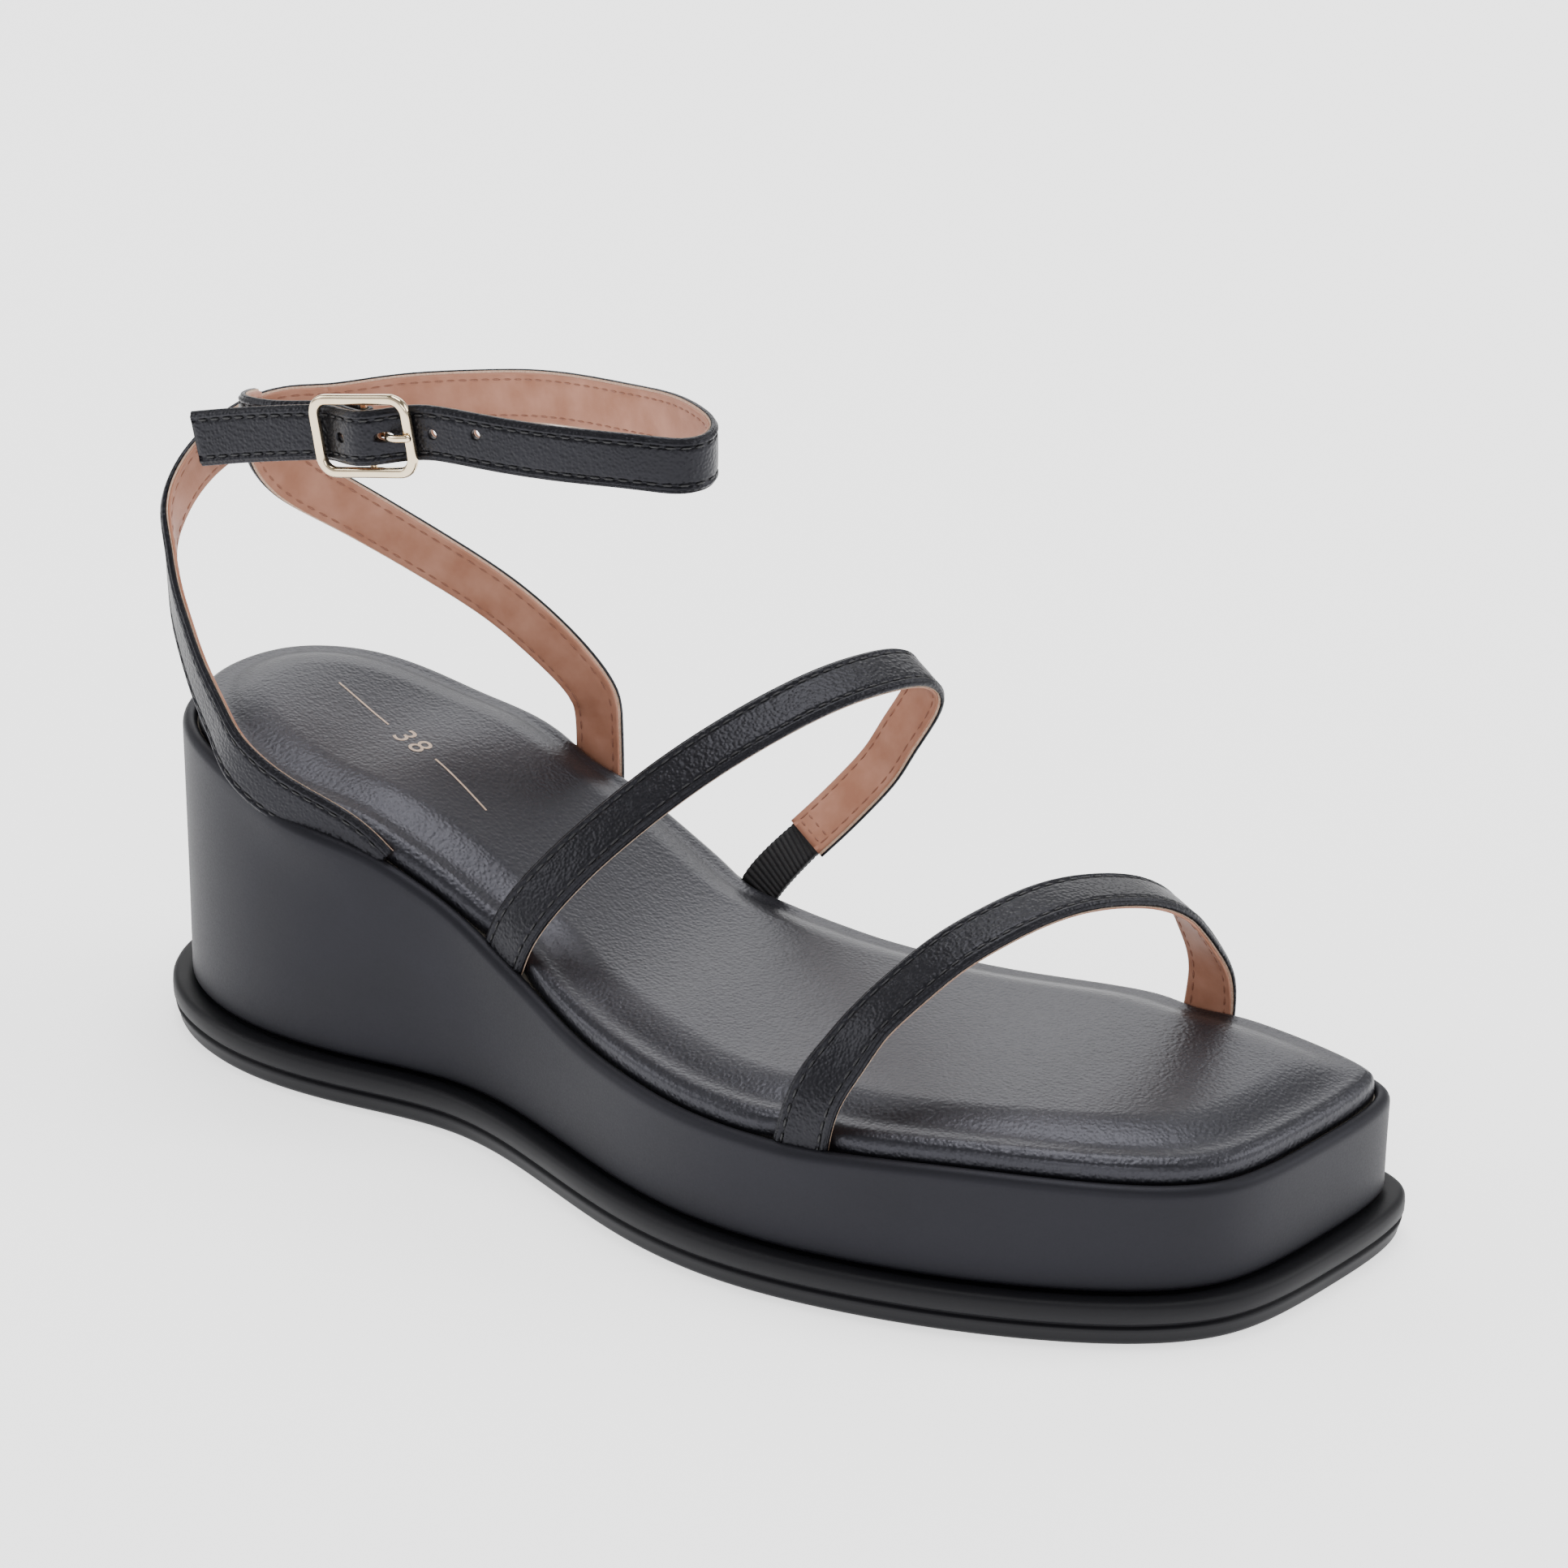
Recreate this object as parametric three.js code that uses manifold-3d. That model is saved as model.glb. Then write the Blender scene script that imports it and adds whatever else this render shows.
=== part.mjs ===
// Wedge sandal for a right foot, in millimetres.
// +X runs from the heel to the toe, +Y to the inner side of the foot, +Z up.
import * as THREE from 'three';
import Module from 'manifold-3d';

const wasm = await Module();
wasm.setup();

// sole
const soleLength = 252;
const soleWidth = 96;
const heelHeight = 64; // top of the wedge under the heel
const platformHeight = 29.5; // top of the wedge under the ball of the foot
const outsoleThickness = 8.8;
const flangeWidth = 4; // how far the outsole stands out past the wedge
const grooveDepth = 0.9;
const wrapThickness = 1.2;
const wrapLap = 5; // how far the wrap folds in over the top of the wedge
const insoleSetback = 3.5; // from the wedge wall to the edge of the insole
const boardThickness = 1.8;
const foamThickness = 3;
const skinThickness = 0.8;
const edgeRoll = 3; // round-over of the padded insole edge
const gap = 0.3; // clearance between glued pieces

// straps
const strapWidth = 10.6;
const leatherThickness = 1;
const liningThickness = 0.8;
const liningSetback = 0.4; // lining edge inside the leather edge
const tuck = 0.8; // strap end let into the wrap
const toeArchHeight = 37.5;
const toeArchLean = 10; // degrees towards the toe
const instepArchHeight = 42.5;
const instepArchLean = 22;
const goreLength = 16.5;
const goreThickness = 1.1;
const footTurn = 26; // length over which a strap turns to lie along the edge of the sole
const hingeGap = 1.6; // free length where two strap sections bend apart

// buckle
const buckleLength = 21.8;
const buckleHeight = 16;
const railWidth = 2;
const railThickness = 1.6;
const barRadius = 0.7;
const barDrop = 1.8; // centre bar behind the frame's middle plane
const prongRadius = 0.65;
const tailLength = 38; // strap past the centre bar
const tailDroop = 1.4;
const holeRadius = 1;
const holePitch = 9.3;
const prongHoleAt = 4.9; // from the centre bar towards the toe
const barPlay = 0.15; // between the centre bar and what turns on it
const tabThickness = 0.8; // leather folded round the centre bar
const humpReach = 4.5; // how far before and after the centre bar the strap starts to rise
const humpShare = 0.56; // share of the rise reached there

const strapThickness = leatherThickness + gap + liningThickness;
const strapInset = flangeWidth + 0.1 + strapThickness / 2;
const ringSteps = 3; // points per stretch between two outline points

const up = new THREE.Vector3(0, 0, 1);
const point = (x, y, z) => new THREE.Vector3(x, y, z);
const rad = THREE.MathUtils.degToRad;

// ---- finishes ----
const finish = (color, roughness, metalness = 0) =>
  new THREE.MeshStandardMaterial({ color, roughness, metalness });
const blackLeather = finish(0x17171a, 0.5);
const tanLining = finish(0xb0806c, 0.6);
const wrapLeather = finish(0x2a2a2d, 0.55);
const insoleLeather = finish(0x1d1d20, 0.45);
const rubber = finish(0x2c2c2f, 0.75);
const corkGrey = finish(0x8d867c, 0.9);
const board = finish(0x8a6f52, 0.9);
const foam = finish(0xd9d4c8, 0.95);
const elastic = finish(0x141416, 0.85);
const paleGold = finish(0xe6cfa8, 0.22, 1);

// ---- solids ----
function meshOf(name, geometry, material) {
  const mesh = new THREE.Mesh(geometry, material);
  mesh.name = name;
  geometry.computeVertexNormals();
  return mesh;
}

function geometryOf(vertices, triangles) {
  const geometry = new THREE.BufferGeometry();
  geometry.setAttribute('position', new THREE.Float32BufferAttribute(vertices, 3));
  geometry.setIndex(triangles);
  return geometry;
}

// signed volume tells which way the faces point
function faceOut(vertices, triangles) {
  let volume = 0;
  const corner = (i) => point(...vertices.slice(3 * i, 3 * i + 3));
  for (let i = 0; i < triangles.length; i += 3) {
    const [a, b, c] = [corner(triangles[i]), corner(triangles[i + 1]), corner(triangles[i + 2])];
    volume += a.dot(b.cross(c));
  }
  return volume < 0 ? triangles.reverse() : triangles;
}

// merges equal corners, so that every edge is shared by two faces
function toManifold(geometry) {
  const source = geometry.index ? geometry.toNonIndexed() : geometry;
  const position = source.attributes.position;
  const seen = new Map();
  const vertices = [];
  const triangles = [];
  for (let i = 0; i < position.count; i += 1) {
    const p = [position.getX(i), position.getY(i), position.getZ(i)];
    const key = p.map((value) => Math.round(value * 1e4)).join();
    if (!seen.has(key)) {
      seen.set(key, vertices.length / 3);
      vertices.push(...p);
    }
    triangles.push(seen.get(key));
  }
  const kept = [];
  for (let i = 0; i < triangles.length; i += 3) {
    const [a, b, c] = triangles.slice(i, i + 3);
    if (a !== b && b !== c && c !== a) kept.push(a, b, c);
  }
  return new wasm.Manifold(new wasm.Mesh({
    numProp: 3,
    vertProperties: new Float32Array(vertices),
    triVerts: new Uint32Array(faceOut(vertices, kept)),
  }));
}

function fromManifold(solid) {
  const mesh = solid.getMesh();
  return geometryOf(Array.from(mesh.vertProperties), Array.from(mesh.triVerts));
}

function cut(geometry, ...tools) {
  let solid = toManifold(geometry);
  for (const tool of tools) solid = solid.subtract(toManifold(tool));
  return fromManifold(solid);
}

function join(geometry, ...others) {
  let solid = toManifold(geometry);
  for (const other of others) solid = solid.add(toManifold(other));
  return fromManifold(solid);
}

// ---- sole outline: shares of the length and of the width, heel to toe on each side ----
const outerSide = [
  [0.016, -0.177], [0.062, -0.307], [0.141, -0.387], [0.236, -0.386], [0.331, -0.362],
  [0.427, -0.430], [0.522, -0.521], [0.617, -0.562], [0.720, -0.534], [0.823, -0.455],
  [0.911, -0.340], [0.959, -0.226], [0.981, -0.104],
];
const innerSide = [
  [0.016, 0.156], [0.062, 0.276], [0.145, 0.362], [0.244, 0.389], [0.347, 0.398],
  [0.450, 0.365], [0.554, 0.351], [0.657, 0.383], [0.760, 0.427], [0.855, 0.438],
  [0.935, 0.425], [0.984, 0.380], [0.999, 0.280],
];
const heelPoint = [0, -0.016];
const toePoint = [0.994, 0.083];

const outlinePoints = [heelPoint, ...outerSide, toePoint, ...innerSide.slice().reverse()]
  .map(([along, across]) => point(along * soleLength, across * soleWidth, 0));
const outline = new THREE.CatmullRomCurve3(outlinePoints, true);
const ringSize = outlinePoints.length * ringSteps;

// outline point at curve position t, moved in by the inset
function edgeAt(t, inset) {
  const p = outline.getPoint(t);
  const ahead = outline.getPoint((t + 0.002) % 1);
  const behind = outline.getPoint((t + 0.998) % 1);
  const along = ahead.sub(behind).normalize();
  return p.add(up.clone().cross(along).multiplyScalar(inset));
}

// a foot is where a strap meets the sole, at one share of the length, on the outer or inner side:
// the point beside the insole, and the level direction in which the edge looks there
function footAt(share, outer) {
  let [low, high] = outer ? [0, 0.5] : [1, 0.5];
  for (let i = 0; i < 40; i += 1) {
    const middle = (low + high) / 2;
    if (edgeAt(middle, strapInset).x < share * soleLength) low = middle;
    else high = middle;
  }
  const at = edgeAt(low, strapInset);
  const out = edgeAt(low, 0).sub(at).normalize();
  return { at: at.setZ(seamZ(at.x)), out };
}

// height of the seam between wedge and insole, as shares of the rise from platform to heel
const seamShares = [0, 0.1, 0.18, 0.24, 0.3, 0.36, 0.44, 0.54, 0.66, 0.8, 1];
const seamRise = [1, 0.94, 0.79, 0.7, 0.52, 0.31, 0.1, 0.02, 0, 0.04, -0.03];
const seamCurve = new THREE.CubicInterpolant(seamShares, seamRise, 1, new Float32Array(1));
function seamZ(x) {
  const share = THREE.MathUtils.clamp(x / soleLength, 0, 1);
  return platformHeight + (heelHeight - platformHeight) * seamCurve.evaluate(share)[0];
}

// one ring round the sole: inset from the outsole edge, at a height given by x
function ring(inset, heightAt) {
  return Array.from({ length: ringSize }, (_, i) => {
    const p = edgeAt(i / ringSize, inset);
    return p.setZ(heightAt(p.x));
  });
}
const level = (z) => () => z;
const aboveSeam = (height) => (x) => seamZ(x) + height;

// skins a stack of rings; an open stack is capped at both ends, a closed one meets itself
function loftRings(rings, closed = false) {
  const n = ringSize;
  const vertices = rings.flat().flatMap((p) => [p.x, p.y, p.z]);
  const triangles = [];
  const layers = closed ? rings.length : rings.length - 1;
  for (let j = 0; j < layers; j += 1) {
    const low = j * n;
    const high = ((j + 1) % rings.length) * n;
    for (let i = 0; i < n; i += 1) {
      const next = (i + 1) % n;
      triangles.push(low + i, low + next, high + next, low + i, high + next, high + i);
    }
  }
  if (!closed) {
    capRing(triangles, 0, true);
    capRing(triangles, (rings.length - 1) * n, false);
  }
  return geometryOf(vertices, faceOut(vertices, triangles));
}

// fills a ring with strips that run from one side of the sole to the other
function capRing(triangles, start, down) {
  const half = ringSize / 2;
  const far = (i) => start + ((ringSize - i) % ringSize);
  for (let i = 0; i < half; i += 1) {
    const [a, b, c, d] = [start + i, start + i + 1, far(i + 1), far(i)];
    if (b !== c) triangles.push(...(down ? [a, c, b] : [a, b, c]));
    if (a !== d) triangles.push(...(down ? [a, d, c] : [a, c, d]));
  }
}

// ---- sole pieces ----
const outsoleTop = outsoleThickness;
const wedgeBase = outsoleTop + gap;
const insoleInset = flangeWidth + insoleSetback;

function outsole() {
  const middle = outsoleThickness * 0.56;
  return loftRings([
    ring(1.6, level(0)),
    ring(0.4, level(1)),
    ring(0, level(2.4)),
    ring(0, level(middle - 0.6)),
    ring(grooveDepth, level(middle)),
    ring(0.2, level(middle + 0.6)),
    ring(0.3, level(outsoleTop - 1.6)),
    ring(1.5, level(outsoleTop)),
  ]);
}

function wedgeCover() {
  const inside = flangeWidth + wrapThickness;
  return loftRings([
    ring(flangeWidth, level(wedgeBase)),
    ring(flangeWidth, aboveSeam(-1)),
    ring(flangeWidth + 0.6, aboveSeam(0)),
    ring(flangeWidth + wrapLap, aboveSeam(0)),
    ring(flangeWidth + wrapLap, aboveSeam(-wrapThickness)),
    ring(inside, aboveSeam(-wrapThickness)),
    ring(inside, level(wedgeBase)),
  ], true);
}

function wedgeCore() {
  const inset = flangeWidth + wrapThickness + gap;
  return loftRings([
    ring(inset, level(wedgeBase)),
    ring(inset, aboveSeam(-wrapThickness - gap)),
  ]);
}

const boardBase = gap;
const foamBase = boardBase + boardThickness + gap;
const skinTop = foamBase + foamThickness + gap + skinThickness;

function insoleBoard() {
  const inset = insoleInset + skinThickness + gap;
  return loftRings([
    ring(inset, aboveSeam(boardBase)),
    ring(inset, aboveSeam(boardBase + boardThickness)),
  ]);
}

function footbedFoam() {
  const inset = insoleInset + skinThickness + gap;
  return loftRings([
    ring(inset, aboveSeam(foamBase)),
    ring(inset, aboveSeam(foamBase + foamThickness - edgeRoll / 2)),
    ring(inset + edgeRoll / 2, aboveSeam(foamBase + foamThickness)),
  ]);
}

function insoleCover() {
  const inner = insoleInset + skinThickness;
  const innerTop = skinTop - skinThickness;
  return loftRings([
    ring(inner + edgeRoll / 2, aboveSeam(innerTop)),
    ring(inner, aboveSeam(innerTop - edgeRoll / 2)),
    ring(inner, aboveSeam(gap)),
    ring(insoleInset, aboveSeam(gap)),
    ring(insoleInset, aboveSeam(skinTop - edgeRoll)),
    ring(insoleInset + edgeRoll * 0.3, aboveSeam(skinTop - edgeRoll * 0.3)),
    ring(insoleInset + edgeRoll, aboveSeam(skinTop)),
  ]);
}

// ---- straps: flat bands carried along a curve ----
// a path is a curve through points, and the way its outer face looks
function pathOf(points, faceAway, fineness) {
  return { curve: new THREE.CatmullRomCurve3(points), last: points.length - 1, faceAway, fineness };
}

// place and directions on a path, at a position counted in its points
function stationAt(path, at) {
  const t = THREE.MathUtils.clamp(at / path.last, 0, 1);
  const place = path.curve.getPoint(t);
  const along = path.curve.getTangent(t).normalize();
  const face = path.faceAway(place, along);
  face.addScaledVector(along, -face.dot(along)).normalize();
  const across = face.clone().cross(along).normalize();
  return { place, along, face, across };
}

// a band from one position to another, between two depths measured from the path;
// ends is how far it runs on past both positions
function band(path, from, to, { low, high, width, ends = 0 }) {
  const steps = Math.max(2, Math.ceil((to - from) * path.fineness));
  const vertices = [];
  const triangles = [];
  for (let i = 0; i <= steps; i += 1) {
    const { place, along, face, across } = stationAt(path, from + ((to - from) * i) / steps);
    if (i === 0) place.addScaledVector(along, -ends);
    if (i === steps) place.addScaledVector(along, ends);
    for (const [depth, side] of [[low, -1], [low, 1], [high, 1], [high, -1]]) {
      const p = place.clone().addScaledVector(face, depth).addScaledVector(across, side * width / 2);
      vertices.push(p.x, p.y, p.z);
    }
  }
  for (let i = 0; i < steps; i += 1) {
    for (let k = 0; k < 4; k += 1) {
      const [a, b] = [4 * i + k, 4 * i + ((k + 1) % 4)];
      triangles.push(a, b, b + 4, a, b + 4, a + 4);
    }
  }
  const end = 4 * steps;
  triangles.push(0, 2, 1, 0, 3, 2, end, end + 1, end + 2, end, end + 2, end + 3);
  return geometryOf(vertices, faceOut(vertices, triangles));
}

const half = strapThickness / 2;
const leather = { low: half - leatherThickness, high: half, width: strapWidth };
const lining = { low: -half, high: liningThickness - half, width: strapWidth - 2 * liningSetback };
const clearOf = (room) => ({
  low: -half - room,
  high: half + room,
  width: strapWidth + 2 * room,
  ends: room,
});

// positions moved along a path by a distance in millimetres
function shift(path, at, distance) {
  const here = path.curve.getPoint(at / path.last);
  const step = 0.05 * Math.sign(distance);
  const reach = path.curve.getPoint((at + step) / path.last).distanceTo(here);
  return at + (step * Math.abs(distance)) / reach;
}

// an arch between two feet: points as shares of the span and of the height, leaning forward;
// near a foot it turns to lie along the edge of the sole
function arch(start, end, shape, height, lean) {
  const rise = point(Math.sin(rad(lean)), 0, Math.cos(rad(lean))).multiplyScalar(height);
  const span = end.at.clone().sub(start.at);
  const points = shape.map(([along, lift]) =>
    start.at.clone().addScaledVector(span, along).addScaledVector(rise, lift));
  const centre = start.at.clone().add(end.at).multiplyScalar(0.5);
  const plane = span.clone().cross(rise).normalize();
  const away = (place, along) => {
    const face = plane.clone().cross(along);
    if (face.dot(place.clone().sub(centre)) < 0) face.negate();
    const foot = place.distanceTo(start.at) < place.distanceTo(end.at) ? start : end;
    if (!foot.out) return face;
    return face.lerp(foot.out, THREE.MathUtils.clamp(1 - place.distanceTo(foot.at) / footTurn, 0, 1));
  };
  return pathOf([start.base, ...points, ...(end.base ? [end.base] : [])], away, 5);
}

const sunk = (p) => p.clone().setZ(p.z - tuck);

// toe strap
const toeShape = [
  [0.02, 0.26], [0.07, 0.45], [0.12, 0.6], [0.2, 0.746], [0.277, 0.858], [0.373, 0.94], [0.544, 1],
  [0.721, 0.923], [0.804, 0.834], [0.872, 0.709], [0.937, 0.5], [0.986, 0.278],
];
const toeStart = footAt(0.672, true);
const toeEnd = footAt(0.815, false);
toeStart.base = sunk(toeStart.at);
toeEnd.base = sunk(toeEnd.at);
const toePath = arch(toeStart, toeEnd, toeShape, toeArchHeight, toeArchLean);

// instep strap, and the elastic gore that ties it to the inner side of the sole
const instepShape = [
  [0.008, 0.13], [0.04, 0.28], [0.101, 0.417], [0.182, 0.545], [0.353, 0.739], [0.578, 0.894],
  [0.82, 0.974], [1, 0.965], [1.14, 0.9], [1.215, 0.775], [1.222, 0.64], [1.195, 0.475],
  [1.173, 0.333], [1.119, 0.2], [1.059, 0.09], [1, 0],
];
const goreFoot = footAt(0.438, false);
const goreRise = point(0.5, 0.14, 0.75).normalize();
const instepStart = footAt(0.366, true);
const instepEnd = { at: goreFoot.at.clone().addScaledVector(goreRise, goreLength) };
instepStart.base = instepStart.at.clone().add(point(0, 0, gap));
const instepPath = arch(instepStart, instepEnd, instepShape, instepArchHeight, instepArchLean);
const goreWay = stationAt(instepPath, instepPath.last).along.negate();
const gorePath = pathOf([
  sunk(goreFoot.at),
  goreFoot.at.clone().setZ(goreFoot.at.z + 1.2),
  instepEnd.at.clone().addScaledVector(goreWay, -2.5),
  instepEnd.at.clone().addScaledVector(goreWay, -0.4),
], (place) => {
  const risen = (place.z - goreFoot.at.z) / (instepEnd.at.z - goreFoot.at.z);
  return goreFoot.out.clone().lerp(stationAt(instepPath, instepPath.last).face, risen);
}, 5);

// ankle straps: points measured from the heel, heights above the seam at the outer anchor;
// they were chosen on a sole of this length, with the outer anchor this far from the middle
const chosenLength = 252;
const chosenSpread = 31.9;
const outerAnchor = footAt(0.236, true);
const innerAnchor = footAt(0.284, false);
const anklePoint = ([x, y, z]) => point(
  (x * soleLength) / chosenLength,
  (y * -outerAnchor.at.y) / chosenSpread,
  z + outerAnchor.at.z,
);
// the outer face looks away from the ankle and level, except where the strap stands upright
const awayShare = 0.3;
function faceAnkle(turn, centre) {
  return (place, along) => {
    const flat = along.clone().cross(up).multiplyScalar(turn);
    const away = place.clone().sub(centre).setZ(0).normalize();
    return flat.addScaledVector(away, awayShare);
  };
}

// the buckle sits on the outer side; its own axes: along the strap, up, and away from the ankle
const buckleCentre = anklePoint([58, -21, 78.2]);
const buckleAlong = point(0.98, 0.1, 0.175).normalize();
const buckleOut = point(0.1, -0.99, 0).cross(buckleAlong).cross(buckleAlong).negate().normalize();
const buckleUp = buckleOut.clone().cross(buckleAlong).normalize();
const framePlane = railThickness / 2 + gap + half; // frame's middle plane in front of the strap
const buckleFrame = new THREE.Matrix4().makeBasis(buckleAlong, buckleUp, buckleOut)
  .setPosition(buckleCentre.clone().addScaledVector(buckleOut, framePlane));
const onStrap = (along, out = 0) => buckleCentre.clone()
  .addScaledVector(buckleAlong, along).addScaledVector(buckleOut, out);
const drooped = (along, drop) => onStrap(along).add(point(0, 0, -drop));
const barReach = barRadius + barPlay + tabThickness; // outside of what is wrapped round the bar
const strapLift = framePlane - barDrop + barReach + gap + half; // hump over the centre bar
const railAt = buckleLength / 2 - railWidth / 2;

const levelReach = buckleLength / 2 + 3.1; // the strap lies flat from here to the frame
const longPoints = [
  outerAnchor.at,
  ...[[53.5, -33, 3.4], [45, -34.9, 6.4], [36, -34.4, 11.6], [30, -32.2, 17], [24.5, -29.4, 23],
    [19.5, -27, 29.5], [15.2, -25, 36], [11.3, -22.3, 42.2], [8.3, -18.6, 48],
    [7, -13.5, 53.2], [6.6, -7, 56.8], [6.6, 0.5, 59], [8.4, 7.6, 60.8], [12.8, 13.4, 61.9],
    [20, 17.2, 62.8], [31.5, 22.6, 65.3], [50, 25.4, 69.3], [63, 24.6, 72.2], [76, 21.8, 74.7],
    [90, 17.6, 77.1], [103, 11.8, 79.8], [112.5, 6, 81.3], [118.8, 1, 81.6], [121, -4.2, 81.3],
    [119, -9, 81.3], [112.5, -12.9, 81.8], [99.5, -16.2, 81.4], [84, -18.4, 80.9]].map(anklePoint),
  onStrap(levelReach), onStrap(railAt - 1.2), onStrap(humpReach, strapLift * humpShare),
  onStrap(0, strapLift), onStrap(-humpReach, strapLift * humpShare), onStrap(1.2 - railAt),
  onStrap(-levelReach), drooped(-tailLength * 0.68, tailDroop * 0.36), drooped(-tailLength, tailDroop),
];
const longPath = pathOf(longPoints, faceAnkle(-1, point(outerAnchor.at.x, 0, 0)), 5);
const outerBend = 5; // where the strap leaves the side of the wedge
const frontBend = 24; // the front of the ankle loop
const tailStart = 28.55; // just before the buckle
const longEnd = longPath.last;

const strapUnder = -strapThickness - gap; // inner strap behind the outer one
const shortPoints = [
  sunk(innerAnchor.at),
  innerAnchor.at,
  ...[[71.6, 32.2, 5], [70.8, 31.2, 11], [66.4, 30, 16.6], [58.4, 28, 23.5], [49.6, 26, 29.2],
    [33.5, 22, 37.2], [22, 17, 43.8], [16, 11.2, 49.4], [13.8, 5.6, 56], [14.6, 0.2, 63.6],
    [19.6, -6.4, 68.6]].map(anklePoint),
  onStrap(-31, strapUnder - 3.4), onStrap(-22, strapUnder - 0.2), onStrap(-15, strapUnder),
  onStrap(-8.5, strapUnder),
];
const shortPath = pathOf(shortPoints, faceAnkle(1, point(innerAnchor.at.x, 0, 0)), 5);
const innerBend = 3;
const shortEnd = shortPath.last;

// ---- buckle pieces, in the buckle's own axes ----
const onBuckle = (geometry) => geometry.applyMatrix4(buckleFrame);

function roundedRectangle(length, height, radius) {
  const [x, y] = [length / 2, height / 2];
  const shape = new THREE.Shape();
  shape.absarc(x - radius, y - radius, radius, 0, Math.PI / 2);
  shape.absarc(radius - x, y - radius, radius, Math.PI / 2, Math.PI);
  shape.absarc(radius - x, radius - y, radius, Math.PI, Math.PI * 1.5);
  shape.absarc(x - radius, radius - y, radius, Math.PI * 1.5, Math.PI * 2);
  shape.closePath();
  return shape;
}

function buckleGeometry() {
  const bevel = 0.4;
  const radius = 4;
  const shape = roundedRectangle(buckleLength - 2 * bevel, buckleHeight - 2 * bevel, radius - bevel);
  shape.holes.push(roundedRectangle(
    buckleLength - 2 * (railWidth - bevel),
    buckleHeight - 2 * (railWidth - bevel),
    radius - railWidth + bevel,
  ));
  const frame = new THREE.ExtrudeGeometry(shape, {
    depth: railThickness - 2 * bevel,
    bevelThickness: bevel,
    bevelSize: bevel,
    bevelSegments: 2,
    curveSegments: 4,
  }).translate(0, 0, bevel - railThickness / 2);
  const postY = buckleHeight / 2 - railWidth / 2;
  const bar = new THREE.CylinderGeometry(barRadius, barRadius, 2 * postY, 16)
    .translate(0, 0, -barDrop);
  const posts = [-1, 1].map((side) =>
    new THREE.BoxGeometry(2 * barRadius, railWidth * 0.8, barDrop + barRadius)
      .translate(0, side * postY, -(barDrop + barRadius) / 2));
  return onBuckle(join(frame, bar, ...posts));
}

// the prong turns on the centre bar, comes up through the strap and rests on the front rail
function prongGeometry(extra = 0) {
  const restZ = railThickness / 2 + prongRadius + 0.1;
  const pathPoints = [
    [barRadius + 0.4, -barDrop + 0.1], [3, -1.65], [4.3, -1.1], [5.6, 0.5], [7.1, restZ - 0.1],
    [railAt - 0.8, restZ], [railAt + 1.1, restZ - 0.05],
  ].map(([along, out]) => point(along, 0, out));
  const section = new THREE.Shape();
  section.absarc(0, 0, prongRadius + extra, 0, Math.PI * 2);
  const arm = new THREE.ExtrudeGeometry(section, {
    extrudePath: new THREE.CatmullRomCurve3(pathPoints),
    steps: 18,
    curveSegments: 5,
  });
  if (extra > 0) return onBuckle(arm);
  const ringTube = 0.4;
  const eye = new THREE.TorusGeometry(barRadius + barPlay + ringTube, ringTube, 8, 20)
    .rotateX(Math.PI / 2)
    .translate(0, 0, -barDrop);
  return onBuckle(join(eye, cut(arm, barClearance())));
}

function barClearance() {
  const radius = barRadius + barPlay;
  return new THREE.CylinderGeometry(radius, radius, buckleHeight, 20).translate(0, 0, -barDrop);
}

// the end of the short strap folds round the centre bar and back along its inner side
function tabGeometry() {
  const reach = barReach;
  const inner = barRadius + barPlay + 0.05;
  const top = -framePlane + strapUnder + half;
  const back = top - strapThickness - gap;
  const shape = new THREE.Shape();
  shape.moveTo(-9, top);
  shape.absarc(0, -barDrop, reach, rad(112), rad(-125), true);
  shape.lineTo(-5, back - leatherThickness * 0.8);
  shape.lineTo(-13, back - leatherThickness * 0.8);
  shape.lineTo(-13, back);
  shape.lineTo(-4.6, back);
  shape.absarc(0, -barDrop, inner, rad(-125), rad(112), false);
  shape.lineTo(-9, top - leatherThickness);
  shape.closePath();
  const width = strapWidth - 1;
  const fold = new THREE.ExtrudeGeometry(shape, { depth: width, bevelEnabled: false, curveSegments: 8 })
    .rotateX(Math.PI / 2)
    .translate(0, width / 2, 0);
  const slot = new THREE.BoxGeometry(7, 2.2, 8).translate(1, 0, -barDrop);
  return onBuckle(cut(fold, slot));
}

const holes = [-1, 0, 1, 2].map((count) => {
  const at = prongHoleAt + count * holePitch;
  return new THREE.CylinderGeometry(holeRadius, holeRadius, 14, 12)
    .rotateX(Math.PI / 2)
    .translate(at, 0, 0)
    .applyMatrix4(buckleFrame);
});

// ---- the sandal ----
const toeTo = toePath.last;
const toeSlot = band(toePath, 0, toeTo, clearOf(gap));
const instepSlot = band(instepPath, 0, 2, clearOf(gap));
const goreBand = (room) => ({
  low: -goreThickness / 2 - room,
  high: goreThickness / 2 + room,
  width: strapWidth - 2 * gap + 2 * room,
  ends: room,
});
const goreSlot = band(gorePath, 0, gorePath.last, goreBand(gap));
const innerSlot = band(shortPath, 0, innerBend, clearOf(gap));
const solidWedge = loftRings([
  ring(flangeWidth - gap, level(wedgeBase)),
  ring(flangeWidth - gap, aboveSeam(gap)),
]);
const solidInsole = loftRings([
  ring(insoleInset - gap, aboveSeam(-1)),
  ring(insoleInset - gap, aboveSeam(skinTop + 1)),
]);

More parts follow.
